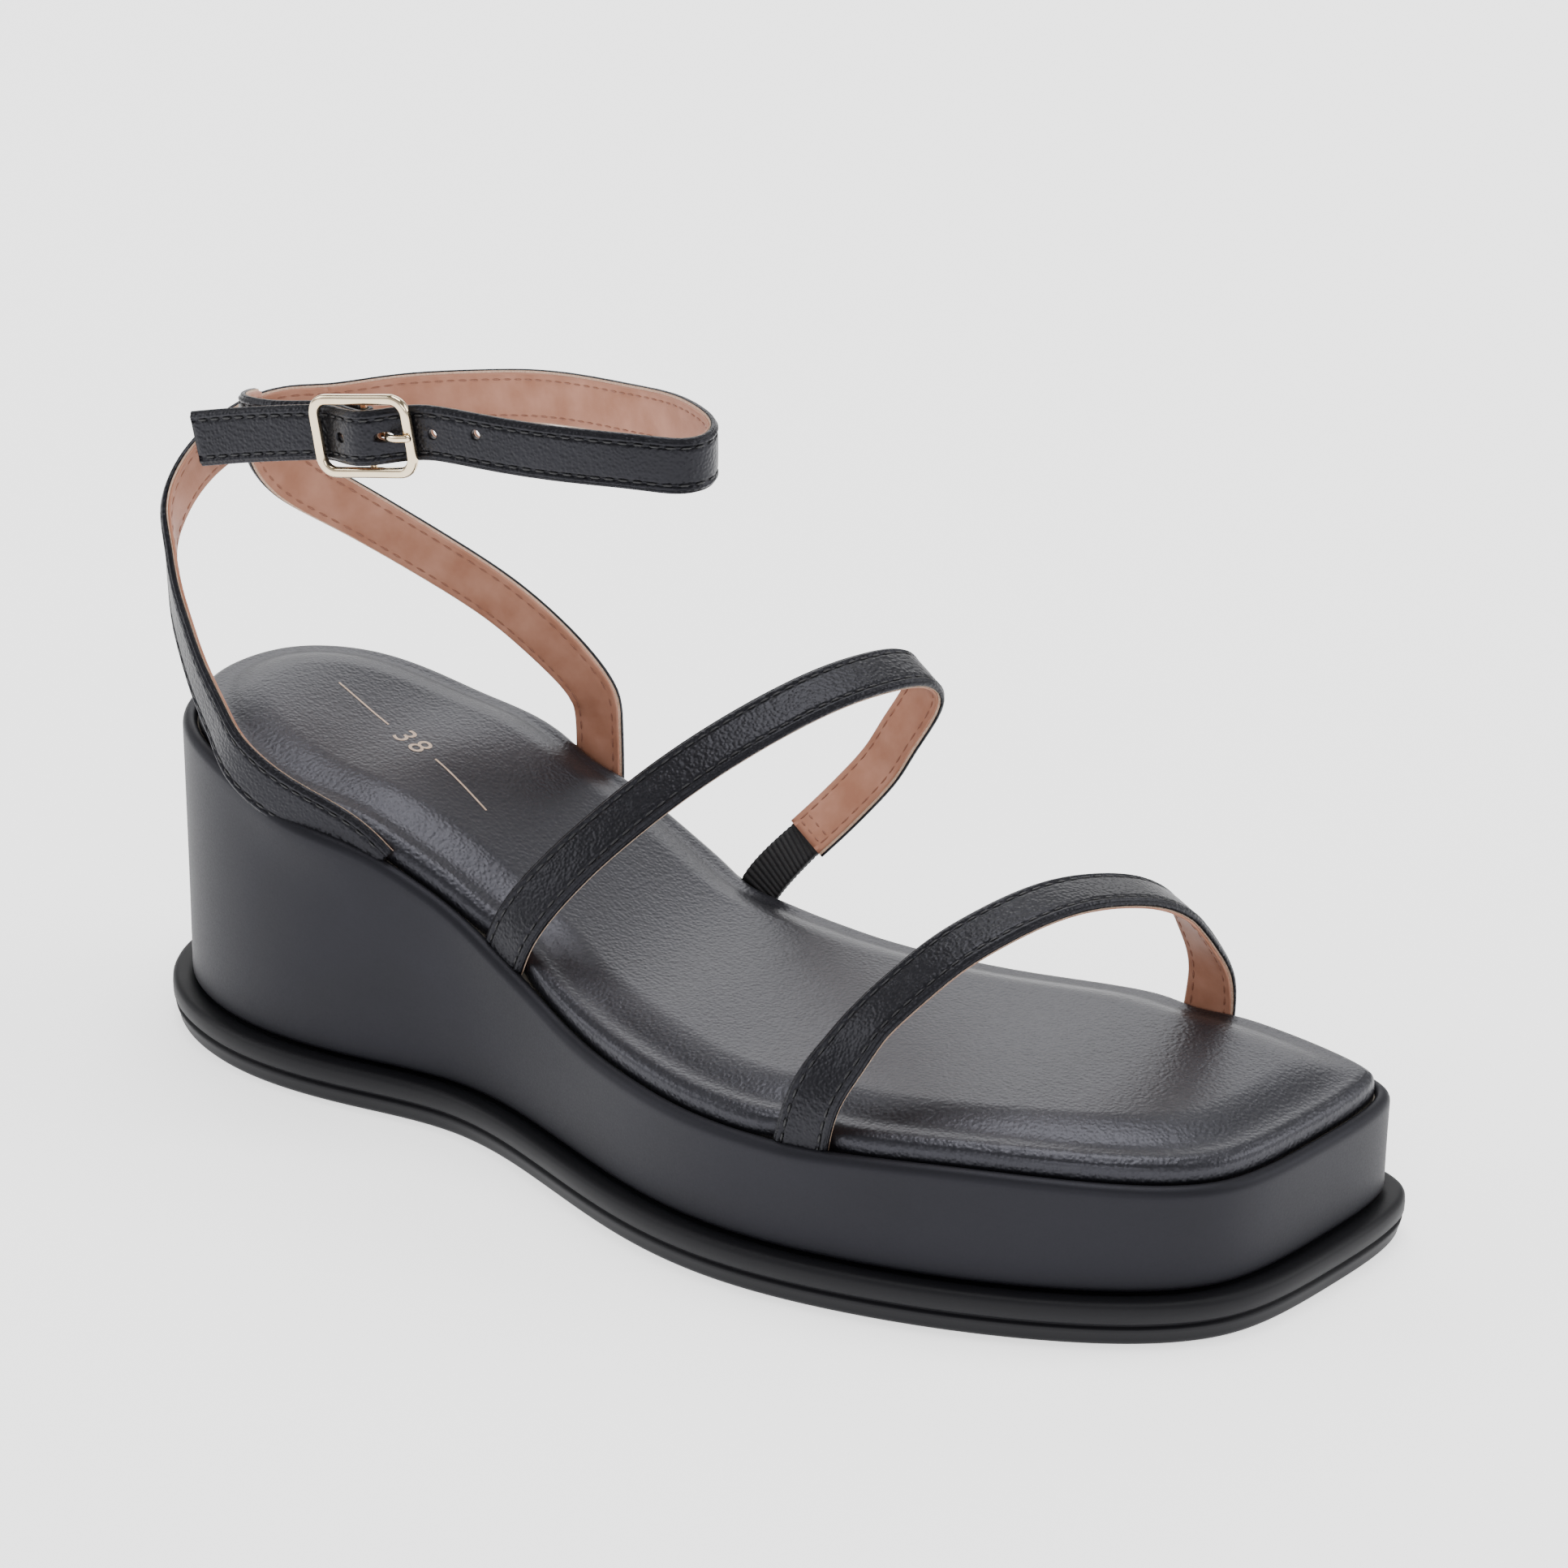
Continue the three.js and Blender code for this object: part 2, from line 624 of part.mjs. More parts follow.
const anchorTo = shift(longPath, outerBend, -hingeGap / 2);
const loopFrom = shift(longPath, outerBend, hingeGap / 2);
const loopTo = shift(longPath, frontBend, -hingeGap / 2);
const frontFrom = shift(longPath, frontBend, hingeGap / 2);
const frontTo = shift(longPath, tailStart, -gap / 2);
const tailFrom = shift(longPath, tailStart, gap / 2);
const innerTo = shift(shortPath, innerBend, -hingeGap / 2);
const shortFrom = shift(shortPath, innerBend, hingeGap / 2);
const prongHole = prongGeometry(gap);

const pieces = [
  ['outsole', outsole(), rubber],
  ['wedge_core', cut(wedgeCore(), toeSlot, instepSlot, goreSlot, innerSlot), corkGrey],
  ['wedge_cover', cut(wedgeCover(), toeSlot, instepSlot, goreSlot, innerSlot), wrapLeather],
  ['insole_board', insoleBoard(), board],
  ['footbed_foam', footbedFoam(), foam],
  ['insole_cover', insoleCover(), insoleLeather],
  ['toe_strap', cut(band(toePath, 0, toeTo, leather), solidInsole), blackLeather],
  ['toe_strap_lining', cut(band(toePath, 0, toeTo, lining), solidInsole), tanLining],
  ['instep_strap', band(instepPath, 0, instepPath.last, leather), blackLeather],
  ['instep_strap_lining', band(instepPath, 0, instepPath.last, lining), tanLining],
  ['instep_gore', band(gorePath, 0, gorePath.last, goreBand(0)), elastic],
  ['outer_anchor', cut(band(longPath, 0, anchorTo, leather), solidWedge, solidInsole), blackLeather],
  ['outer_anchor_lining', cut(band(longPath, 0, anchorTo, lining), solidWedge, solidInsole), tanLining],
  ['inner_anchor', band(shortPath, 0, innerTo, leather), blackLeather],
  ['inner_anchor_lining', cut(band(shortPath, 0, innerTo, lining), solidInsole), tanLining],
  ['ankle_loop', band(longPath, loopFrom, loopTo, leather), blackLeather],
  ['ankle_loop_lining', band(longPath, loopFrom, loopTo, lining), tanLining],
  ['ankle_front', cut(band(longPath, frontFrom, frontTo, leather), ...holes), blackLeather],
  ['ankle_front_lining', cut(band(longPath, frontFrom, frontTo, lining), ...holes), tanLining],
  ['ankle_tail', cut(band(longPath, tailFrom, longEnd, leather), prongHole, ...holes), blackLeather],
  ['ankle_tail_lining', cut(band(longPath, tailFrom, longEnd, lining), prongHole, ...holes), tanLining],
  ['buckle_strap', join(band(shortPath, shortFrom, shortEnd, leather), tabGeometry()), blackLeather],
  ['buckle_strap_lining', band(shortPath, shortFrom, shortEnd, lining), tanLining],
  ['buckle_frame', buckleGeometry(), paleGold],
  ['buckle_prong', prongGeometry(), paleGold],
];

const sandal = new THREE.Group();
for (const [name, geometry, material] of pieces) sandal.add(meshOf(name, geometry, material));

// the origin is the middle of the underside of the whole sandal's box
const box = new THREE.Box3().setFromObject(sandal);
const middle = box.getCenter(new THREE.Vector3());
for (const mesh of sandal.children) mesh.geometry.translate(-middle.x, -middle.y, -box.min.z);

export default sandal;
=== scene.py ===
import math

import bpy
import numpy as np
from mathutils import Matrix, Vector


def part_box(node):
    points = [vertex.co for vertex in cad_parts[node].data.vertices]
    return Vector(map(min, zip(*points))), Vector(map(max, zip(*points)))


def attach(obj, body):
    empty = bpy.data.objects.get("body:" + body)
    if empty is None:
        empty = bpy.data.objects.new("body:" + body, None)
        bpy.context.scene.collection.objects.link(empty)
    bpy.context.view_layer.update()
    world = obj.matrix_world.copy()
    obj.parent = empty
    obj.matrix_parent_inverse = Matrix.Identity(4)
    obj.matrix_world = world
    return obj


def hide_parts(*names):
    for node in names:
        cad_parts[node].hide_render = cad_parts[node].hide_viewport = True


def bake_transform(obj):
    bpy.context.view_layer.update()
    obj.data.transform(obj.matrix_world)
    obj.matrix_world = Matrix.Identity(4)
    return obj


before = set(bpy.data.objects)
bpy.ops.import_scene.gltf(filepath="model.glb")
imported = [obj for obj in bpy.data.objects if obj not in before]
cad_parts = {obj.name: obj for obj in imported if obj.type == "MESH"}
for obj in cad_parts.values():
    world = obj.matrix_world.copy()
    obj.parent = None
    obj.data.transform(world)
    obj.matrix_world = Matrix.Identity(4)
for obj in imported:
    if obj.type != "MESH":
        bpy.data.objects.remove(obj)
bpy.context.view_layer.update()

mm = 0.001
pi = math.pi

# how the sole is drawn: shares of its length and width, heel to toe on each side, in millimetres
sole = {
    "length": 252.0,
    "width": 96.0,
    "heelHeight": 64.0,
    "platformHeight": 29.5,
    "thickness": 8.8,
    "flange": 4.0,
    "outerSide": [
        (0.016, -0.177), (0.062, -0.307), (0.141, -0.387), (0.236, -0.386), (0.331, -0.362),
        (0.427, -0.430), (0.522, -0.521), (0.617, -0.562), (0.720, -0.534), (0.823, -0.455),
        (0.911, -0.340), (0.959, -0.226), (0.981, -0.104),
    ],
    "innerSide": [
        (0.016, 0.156), (0.062, 0.276), (0.145, 0.362), (0.244, 0.389), (0.347, 0.398),
        (0.450, 0.365), (0.554, 0.351), (0.657, 0.383), (0.760, 0.427), (0.855, 0.438),
        (0.935, 0.425), (0.984, 0.380), (0.999, 0.280),
    ],
    "heelPoint": (0.0, -0.016),
    "toePoint": (0.994, 0.083),
    "seamShares": [0, 0.1, 0.18, 0.24, 0.3, 0.36, 0.44, 0.54, 0.66, 0.8, 1],
    "seamRise": [1, 0.94, 0.79, 0.7, 0.52, 0.31, 0.1, 0.02, 0, 0.04, -0.03],
    "ringPoints": 560,
}


# smooth step from 0 to 1
def smooth(t):
    t = np.clip(t, 0, 1)
    return t * t * (3 - 2 * t)


# cubic spline through points: slope and bend run on across every point, knots are spaced by the
# square root of the distance, and position 3.5 is half way from point 3 to point 4
def splineThrough(points, closed=False):
    pts = np.array(points, float)
    if closed:
        pts = np.vstack([pts, pts[:1]])
    h = np.sqrt(np.linalg.norm(np.diff(pts, axis=0), axis=1))
    n = len(h)
    a = np.zeros((n + 1, n + 1))
    b = np.zeros((n + 1, pts.shape[1]))
    slope = np.diff(pts, axis=0) / h[:, None]
    i = np.arange(1, n)
    a[i, i - 1], a[i, i], a[i, i + 1] = h[i - 1], 2 * (h[i - 1] + h[i]), h[i]
    b[i] = 6 * (slope[i] - slope[i - 1])
    if closed:
        a[0, 0], a[0, 1], a[0, n - 1] = 2 * (h[0] + h[-1]), h[0], h[-1]
        b[0] = 6 * (slope[0] - slope[-1])
        a[n, n], a[n, 0] = 1, -1
    else:
        a[0, 0] = a[n, n] = 1
    m = np.linalg.solve(a, b)

    def at(u):
        u = np.asarray(u, float)
        if closed:
            u = u % n
        k = np.clip(u.astype(int), 0, n - 1)
        hk, f = h[k][:, None], (u - k)[:, None]
        p, q = hk * f, hk * (1 - f)
        return (m[k] * q ** 3 + m[k + 1] * p ** 3) / (6 * hk) \
            + (pts[k] / hk - m[k] * hk / 6) * q + (pts[k + 1] / hk - m[k + 1] * hk / 6) * p

    at.last = n
    return at


scale = np.array([sole["length"], sole["width"]])
outlinePoints = np.array(
    [sole["heelPoint"], *sole["outerSide"], sole["toePoint"], *sole["innerSide"][::-1]]) * scale
outline = splineThrough(outlinePoints, closed=True)
seamPoints = np.array([(s * sole["length"], r) for s, r in zip(sole["seamShares"], sole["seamRise"])])


# height of the wedge's top edge at x: a smooth fall from the heel height to the platform,
# cubic pieces whose slope at each point is the mean of its neighbours'
def seamZ(x):
    xs, ys = seamPoints[:, 0], seamPoints[:, 1]
    slopes = np.gradient(ys, xs)
    x = np.clip(x, xs[0], xs[-1])
    k = np.clip(np.searchsorted(xs, x, side="right") - 1, 0, len(xs) - 2)
    h = xs[k + 1] - xs[k]
    t = (x - xs[k]) / h
    rise = (2 * t ** 3 - 3 * t ** 2 + 1) * ys[k] + (t ** 3 - 2 * t ** 2 + t) * h * slopes[k] \
        + (3 * t ** 2 - 2 * t ** 3) * ys[k + 1] + (t ** 3 - t ** 2) * h * slopes[k + 1]
    return sole["platformHeight"] + (sole["heelHeight"] - sole["platformHeight"]) * rise


ringCount = sole["ringPoints"]
ringU = np.arange(ringCount) / ringCount * len(outlinePoints)
edge = outline(ringU)
edgeAlong = outline(ringU + 0.01) - outline(ringU - 0.01)
edgeAlong /= np.linalg.norm(edgeAlong, axis=1)[:, None]
edgeIn = np.stack([-edgeAlong[:, 1], edgeAlong[:, 0]], axis=1)

# the sole's own zero is the heel's back; the CAD outsole says where that is in the frame
outsoleLow = np.array(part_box("outsole")[0]) / mm
shoeZero = np.array([outsoleLow[0] - edge[:, 0].min(), outsoleLow[1] - edge[:, 1].min(), 0.0])


# one ring round the sole: outline points moved in by inset, at a height or a function of x and y
def ring(inset, height):
    flat = edge + edgeIn * np.broadcast_to(inset, (ringCount,))[:, None]
    z = height(flat[:, 0], flat[:, 1]) if callable(height) else np.broadcast_to(height, (ringCount,))
    return np.column_stack([flat, z])


def addObject(name, data):
    obj = bpy.data.objects.new(name, data)
    bpy.context.collection.objects.link(obj)
    return obj


# puts arrays into a mesh object, in metres, in the sandal's frame
def makeMesh(name, vertices, faces, material, uv=None):
    mesh = bpy.data.meshes.new(name)
    vertices = (vertices + shoeZero) * mm
    loops = np.concatenate([f.ravel() for f in faces]).astype(np.int32)
    sizes = np.concatenate([np.full(len(f), f.shape[1], np.int32) for f in faces])
    mesh.vertices.add(len(vertices))
    mesh.vertices.foreach_set("co", vertices.ravel())
    mesh.loops.add(len(loops))
    mesh.loops.foreach_set("vertex_index", loops)
    mesh.polygons.add(len(sizes))
    mesh.polygons.foreach_set("loop_start", np.cumsum(sizes, dtype=np.int32) - sizes)
    mesh.polygons.foreach_set("use_smooth", np.ones(len(sizes), bool))
    mesh.update(calc_edges=True)
    mesh.validate()
    if uv is not None:
        mesh.uv_layers.new(name="along").data.foreach_set("uv", uv[loops].ravel())
    mesh.materials.append(material)
    return addObject(name, mesh)


# quads between one closed row of points and the next
def bandFaces(low, high):
    return np.column_stack([low, np.roll(low, -1), np.roll(high, -1), high])


# skins a stack of rings; the ends are capped, or meet each other where the stack is closed
def skinRings(rings, closed=False, lowCap=None, highCap=None, columns=24):
    vertices = np.concatenate(rings)
    rows = np.arange(len(vertices)).reshape(-1, ringCount)
    quads = [bandFaces(low, high) for low, high in zip(rows, rows[1:])]
    if closed:
        return vertices, [np.concatenate([*quads, bandFaces(rows[-1], rows[0])])]
    triangles = []
    for row, height, turn in ((rows[0], lowCap, -1), (rows[-1], highCap, 1)):
        fresh, capQuads, capTriangles = capRing(vertices, row, height, columns)
        vertices = np.concatenate([vertices, fresh])
        quads.append(capQuads[:, ::turn])
        triangles.append(capTriangles[:, ::turn])
    return vertices, [np.concatenate(quads), np.concatenate(triangles)]


# fills a ring with a grid: straight lines from the outer side to the inner side, v running
# from -1 to 1 along each, lifted by height(x, y, v)
def capRing(vertices, row, height, columns):
    half = ringCount // 2
    i = np.arange(1, half)
    outer, inner = row[i], row[ringCount - i]
    share = np.arange(1, columns) / columns
    a, b = vertices[outer][:, None], vertices[inner][:, None]
    inside = a + (b - a) * share[None, :, None]
    if height is not None:
        v = np.broadcast_to(2 * share - 1, inside.shape[:2])
        inside[..., 2] = height(inside[..., 0], inside[..., 1], v)
    index = np.empty((half - 1, columns + 1), int)
    index[:, 0], index[:, -1] = outer, inner
    index[:, 1:-1] = len(vertices) + np.arange((half - 1) * (columns - 1)).reshape(half - 1, -1)
    quads = np.stack([index[:-1, :-1], index[1:, :-1], index[1:, 1:], index[:-1, 1:]], axis=-1)
    heel, toe = row[0], row[half]
    ends = [np.column_stack([np.full(columns, heel), index[0, :-1], index[0, 1:]]),
            np.column_stack([np.full(columns, toe), index[-1, 1:], index[-1, :-1]])]
    return inside.reshape(-1, 3), quads.reshape(-1, 4), np.concatenate(ends)


def hexColor(text):
    channels = [int(text[i:i + 2], 16) / 255 for i in (1, 3, 5)]
    linear = [c / 12.92 if c <= 0.04045 else ((c + 0.055) / 1.055) ** 2.4 for c in channels]
    return (*linear, 1.0)


# adds a node with its settings, and fills or links its inputs
def addNode(tree, kind, inputs=None, **settings):
    node = tree.nodes.new(kind)
    for key, value in settings.items():
        setattr(node, key, value)
    for key, value in (inputs or {}).items():
        if isinstance(value, bpy.types.NodeSocket):
            tree.links.new(value, node.inputs[key])
        else:
            node.inputs[key].default_value = value
    return node


# a material with even values on its shader's sockets
def evenMaterial(name, even):
    material = bpy.data.materials.new(name)
    material.use_nodes = True
    for socket, value in even.items():
        material.node_tree.nodes["Principled BSDF"].inputs[socket].default_value = value
    return material


# starts a material whose two tones are mixed by slow noise; every pattern is sized in metres
def startMaterial(name, look, useMap=False):
    material = evenMaterial(name, look["even"])
    tree = material.node_tree
    shader = tree.nodes["Principled BSDF"]
    where = addNode(tree, "ShaderNodeTexCoord").outputs["UV" if useMap else "Object"]
    cloud = addNode(tree, "ShaderNodeTexNoise",
                    {"Vector": where, "Scale": 1 / look["cloud"], "Detail": look["detail"]})
    tint = addNode(tree, "ShaderNodeValToRGB", {"Fac": cloud.outputs["Fac"]})
    for end, at, tone in zip(tint.color_ramp.elements, look["spread"], ("dark", "light")):
        end.position = at
        end.color = hexColor(look[tone])
    tree.links.new(tint.outputs["Color"], shader.inputs["Base Color"])
    return material, tree, shader, where, cloud


# coated leather: cells of a grain size for the pebbles, and noise inside them for the pores
def leatherMaterial(name, look, useMap):
    look = {"detail": 3.0, "spread": (0.35, 0.68), **look}
    material, tree, shader, where, _ = startMaterial(name, look, useMap)
    warp = addNode(tree, "ShaderNodeTexNoise", {"Vector": where, "Scale": 1 / look["warp"], "Detail": 2.0})
    shifted = addNode(
        tree, "ShaderNodeMixRGB", blend_type="LINEAR_LIGHT",
        inputs={"Fac": look["warpAmount"], "Color1": where, "Color2": warp.outputs["Color"]})
    grain = addNode(
        tree, "ShaderNodeTexVoronoi", feature="SMOOTH_F1",
        inputs={"Vector": shifted.outputs["Color"], "Scale": 1 / look["grain"], "Randomness": 0.9})
    pores = addNode(tree, "ShaderNodeTexNoise",
                    {"Vector": where, "Scale": 1 / look["pore"], "Detail": 4.0, "Roughness": 0.6})
    low, high = look["rough"]
    rough = addNode(
        tree, "ShaderNodeMapRange",
        {"Value": pores.outputs["Fac"], "From Min": 0.3, "From Max": 0.7, "To Min": low, "To Max": high})
    tree.links.new(rough.outputs["Result"], shader.inputs["Roughness"])
    pebbles = addNode(
        tree, "ShaderNodeBump", invert=True,
        inputs={"Height": grain.outputs["Distance"], "Strength": look["pebble"],
                "Distance": look["grain"] * 0.35})
    skin = addNode(
        tree, "ShaderNodeBump",
        {"Height": pores.outputs["Fac"], "Strength": look["pit"], "Distance": look["pore"] * 0.4,
         "Normal": pebbles.outputs["Normal"]})
    tree.links.new(skin.outputs["Normal"], shader.inputs["Normal"])
    return material


coolShine = hexColor("#f0f0ff")
# PU-coated leather, embossed: small hard pebbles, satin, almost black
strapLeather = leatherMaterial("embossedPuLeather", useMap=True, look={
    "grain": 0.0006, "pore": 0.0002, "cloud": 0.012, "warp": 0.002, "warpAmount": 0.0001,
    "dark": "#09090b", "light": "#101013", "rough": (0.32, 0.46), "pebble": 0.8, "pit": 0.15,
    "even": {"IOR": 1.5, "Specular IOR Level": 0.28, "Specular Tint": coolShine},
})
# tanned lining leather: smooth rosy tan, matt, with faint clouds and pores
liningLeather = leatherMaterial("tannedLiningLeather", useMap=True, look={
    "grain": 0.0004, "pore": 0.0003, "cloud": 0.007, "warp": 0.003, "warpAmount": 0.0002,
    "dark": "#9c6a54", "light": "#b07f6a", "rough": (0.5, 0.66), "pebble": 0.1, "pit": 0.16,
    "even": {"IOR": 1.45, "Specular IOR Level": 0.35, "Sheen Weight": 0.05, "Sheen Roughness": 0.4},
})
# smooth PU-coated wrap: hardly any grain, an even dull satin with a cool tone
wrapLeather = leatherMaterial("smoothPuWrap", useMap=False, look={
    "grain": 0.0006, "pore": 0.0004, "cloud": 0.03, "warp": 0.004, "warpAmount": 0.0002,
    "dark": "#111114", "light": "#16161a", "rough": (0.48, 0.56), "pebble": 0.03, "pit": 0.05,
    "even": {"IOR": 1.48, "Specular IOR Level": 0.26, "Specular Tint": hexColor("#eeeeff")},
})
# soft insole leather: fine tight pebbles with a broad low sheen
insoleLeather = leatherMaterial("softGrainInsoleLeather", useMap=False, look={
    "grain": 0.0007, "pore": 0.00025, "cloud": 0.02, "warp": 0.003, "warpAmount": 0.0003,
    "dark": "#0b0b0e", "light": "#111115", "rough": (0.34, 0.46), "pebble": 0.42, "pit": 0.18,
    "even": {"IOR": 1.5, "Specular IOR Level": 0.55, "Specular Tint": coolShine},
})


# rubber, metal and fibres: the slow noise may also set the roughness, and finer noise dents them
def fineMaterial(name, look):
    material, tree, shader, where, cloud = startMaterial(name, look)
    if "rough" in look:
        low, high = look["rough"]
        rough = addNode(tree, "ShaderNodeMapRange",
                        {"Value": cloud.outputs["Fac"], "To Min": low, "To Max": high})
        tree.links.new(rough.outputs["Result"], shader.inputs["Roughness"])
    if "dent" in look:
        size, depth, strength = look["dent"]
        spots = addNode(tree, "ShaderNodeTexNoise", {"Vector": where, "Scale": 1 / size, "Detail": 3.0})
        bump = addNode(tree, "ShaderNodeBump",
                       {"Height": spots.outputs["Fac"], "Strength": strength, "Distance": depth})
        tree.links.new(bump.outputs["Normal"], shader.inputs["Normal"])
    return material


# thread, tape and other fibres: twists of one size, matt, with painted shade in their hollows, as the tone
# follows the same noise as the dents
def fibreMaterial(name, dark, light, rough, twist):
    # the tint noise and the dent noise are one and the same, so the dark tone lands in the dents' hollows:
    # painted shade
    return fineMaterial(name, {
        "cloud": twist, "detail": 3.0, "spread": (0.3, 0.7), "dark": dark, "light": light,
        "dent": (twist, twist * 0.3, 0.4), "even": {"Roughness": rough},
    })


# moulded TPR rubber: dull, with the fine spark texture of the mould and soft scuffs
outsoleRubber = fineMaterial("mouldedTprRubber", {
    "cloud": 0.018, "detail": 5.0, "spread": (0, 1), "dark": "#0d0d11", "light": "#131317",
    "rough": (0.46, 0.62), "dent": (0.0003, 0.00008, 0.12), "even": {"IOR": 1.5, "Specular IOR Level": 0.2},
})
# polished pale-gold zinc alloy: mirror-like, with the faintest haze from handling
paleGold = fineMaterial("polishedPaleGoldZinc", {
    "cloud": 0.004, "detail": 4.0, "spread": (0, 1), "dark": "#e0c9a4", "light": "#f0dfc2",
    "rough": (0.1, 0.2), "even": {"Metallic": 1.0},
})
# spun thread, waxed: a dull gleam with painted shade between its twists
blackThread = fibreMaterial("waxedBlackThread", "#08080a", "#1c1c20", 0.55, 0.0003)
tanThread = fibreMaterial("waxedTanThread", "#7d5242", "#94644f", 0.6, 0.0003)
# cut leather and woven elastic: matt, flecked
rawEdge = fibreMaterial("rawLiningEdge", "#c9a68d", "#e6cdb8", 0.8, 0.0004)
wovenElastic = fibreMaterial("wovenElastic", "#08080a", "#1d1d21", 0.7, 0.0004)
# stamped foil: worn pink gold without a mirror's gloss
printFoil = fibreMaterial("stampedFoil", "#a48c78", "#c4ad98", 0.45, 0.0006)
# moulded foam and pressed board, both hidden: matt and speckled
wedgeFoam = fibreMaterial("mouldedEvaFoam", "#6f6a62", "#8d867c", 0.9, 0.001)
fibreBoard = fibreMaterial("celluloseInsoleBoard", "#7c6247", "#957858", 0.9, 0.0008)
print("materials made")


# a foot is where a strap meets the sole: the share of the length, on the outer or inner side
def footAt(share, outer, inset):
    half = ringCount // 2
    index = np.arange(half) if outer else np.arange(ringCount - 1, half, -1)
    line = (edge + edgeIn * inset)[index]
    k = int(np.searchsorted(np.maximum.accumulate(line[:, 0]), share * sole["length"]))
    at = np.array([*line[k], seamZ(line[k, 0])])
    return {"at": at, "out": np.array([*-edgeIn[index[k]], 0.0])}


strap = {"width": 10.6, "leather": 1.25, "lining": 0.75, "tape": 0.22, "inset": 5.15, "footInset": 6.35,
         "tuck": 2.2, "footTurn": 26.0, "stitchIn": 1.75, "stitchPitch": 2.7, "step": 1.1}
thick = strap["leather"] + strap["lining"]
toeFeet = footAt(0.672, True, strap["footInset"]), footAt(0.815, False, strap["footInset"])
instepFoot = footAt(0.366, True, strap["footInset"])
goreFoot = footAt(0.438, False, strap["footInset"])
outerFoot = footAt(0.236, True, strap["inset"])
innerFoot = footAt(0.284, False, strap["footInset"])


# feet as places with weights: how hard each pushes the insole in, and the wrap out
def footPlaces(weights, shifts=((0, 0, 1),)):
    return [(f["at"][0] + dx, f["at"][1] + dy, w * share) for f, w in weights for dx, dy, share in shifts]


feet = footPlaces(((toeFeet[0], 1), (toeFeet[1], 1), (instepFoot, 1), (goreFoot, 0.8), (innerFoot, 1)))
feet += footPlaces(((outerFoot, 0.5),), ((0, 0, 1), (-7, 0, 0.8)))
wrapFeet = footPlaces(((toeFeet[0], 0.7), (toeFeet[1], 0.6), (instepFoot, 0.6), (innerFoot, 0.5)))
wrapFeet += footPlaces(((outerFoot, 1.0),), ((-3, 0, 1), (-10, 0, 1), (-17, 0, 0.9)))


# moulded outsole: rings follow a rounded flange with one bell-shaped groove round its side; the
# tread is a stack of cross grooves under heel and ball
def makeOutsole():
    look = {
        "treadInset": 3.4, "lowInset": 1.0, "lowRound": 1.6, "bulge": (0.55, 3.0), "edgeRound": 1.5,
        "grooveAt": 4.3, "grooveDepth": 0.75, "grooveWidth": 1.1, "grooveLip": (0.05, 1.0),
        "ledge": ((2.6, 0), (3.9, 0.1), (4.6, 0.5), (5.2, 0.6)),
        "treadPitch": 7.0, "treadDepth": 1.1, "treadWidth": 2.0, "treadBow": 0.0022,
    }
    top = sole["thickness"]
    r, low, half = look["edgeRound"], look["lowRound"], look["grooveWidth"] / 2
    arc = np.linspace(0, pi / 2, 6)
    profile = [(look["treadInset"], 0.0)]
    profile += [(look["lowInset"] + low * (1 - math.sin(t)), low * (1 - math.cos(t))) for t in arc]
    profile += [look["bulge"]]
    profile += [(0.35 + look["grooveDepth"] * math.exp(-((z / half) ** 2) * 2.2), look["grooveAt"] + z)
                for z in np.linspace(-1.2, 1.2, 13) * half]
    profile += [(look["grooveLip"][0], look["grooveAt"] + look["grooveLip"][1]), (0.0, top - r - 0.6)]
    profile += [(r * (1 - math.cos(t)), top - r * (1 - math.sin(t))) for t in arc[1:]]
    profile += [(inset, top - drop) for inset, drop in look["ledge"]]

    def tread(x, y, v):
        share = x / sole["length"]
        zone = smooth((share - 0.03) / 0.03) * smooth((0.27 - share) / 0.03) \
            + smooth((share - 0.5) / 0.04) * smooth((0.96 - share) / 0.03)
        turns = (x + look["treadBow"] * y * y) / look["treadPitch"]
        wave = np.abs(turns % 1 - 0.5) * look["treadPitch"]
        cut = smooth((look["treadWidth"] / 2 + 0.5 - wave) / 0.8) * smooth((0.86 - np.abs(v)) / 0.05)
        return look["treadDepth"] * cut * zone

    vertices, faces = skinRings([ring(inset, z) for inset, z in profile], lowCap=tread, columns=48)
    return makeMesh("outsoleUnit", vertices, faces, outsoleRubber)


# how much a place is touched by the strap feet: a bell of one reach round every foot, added up
def nearFeet(x, y, places, reach):
    total = np.zeros_like(x)
    for fx, fy, weight in places:
        total = total + weight * np.exp(-((x - fx) ** 2 + (y - fy) ** 2) / reach ** 2)
    return total


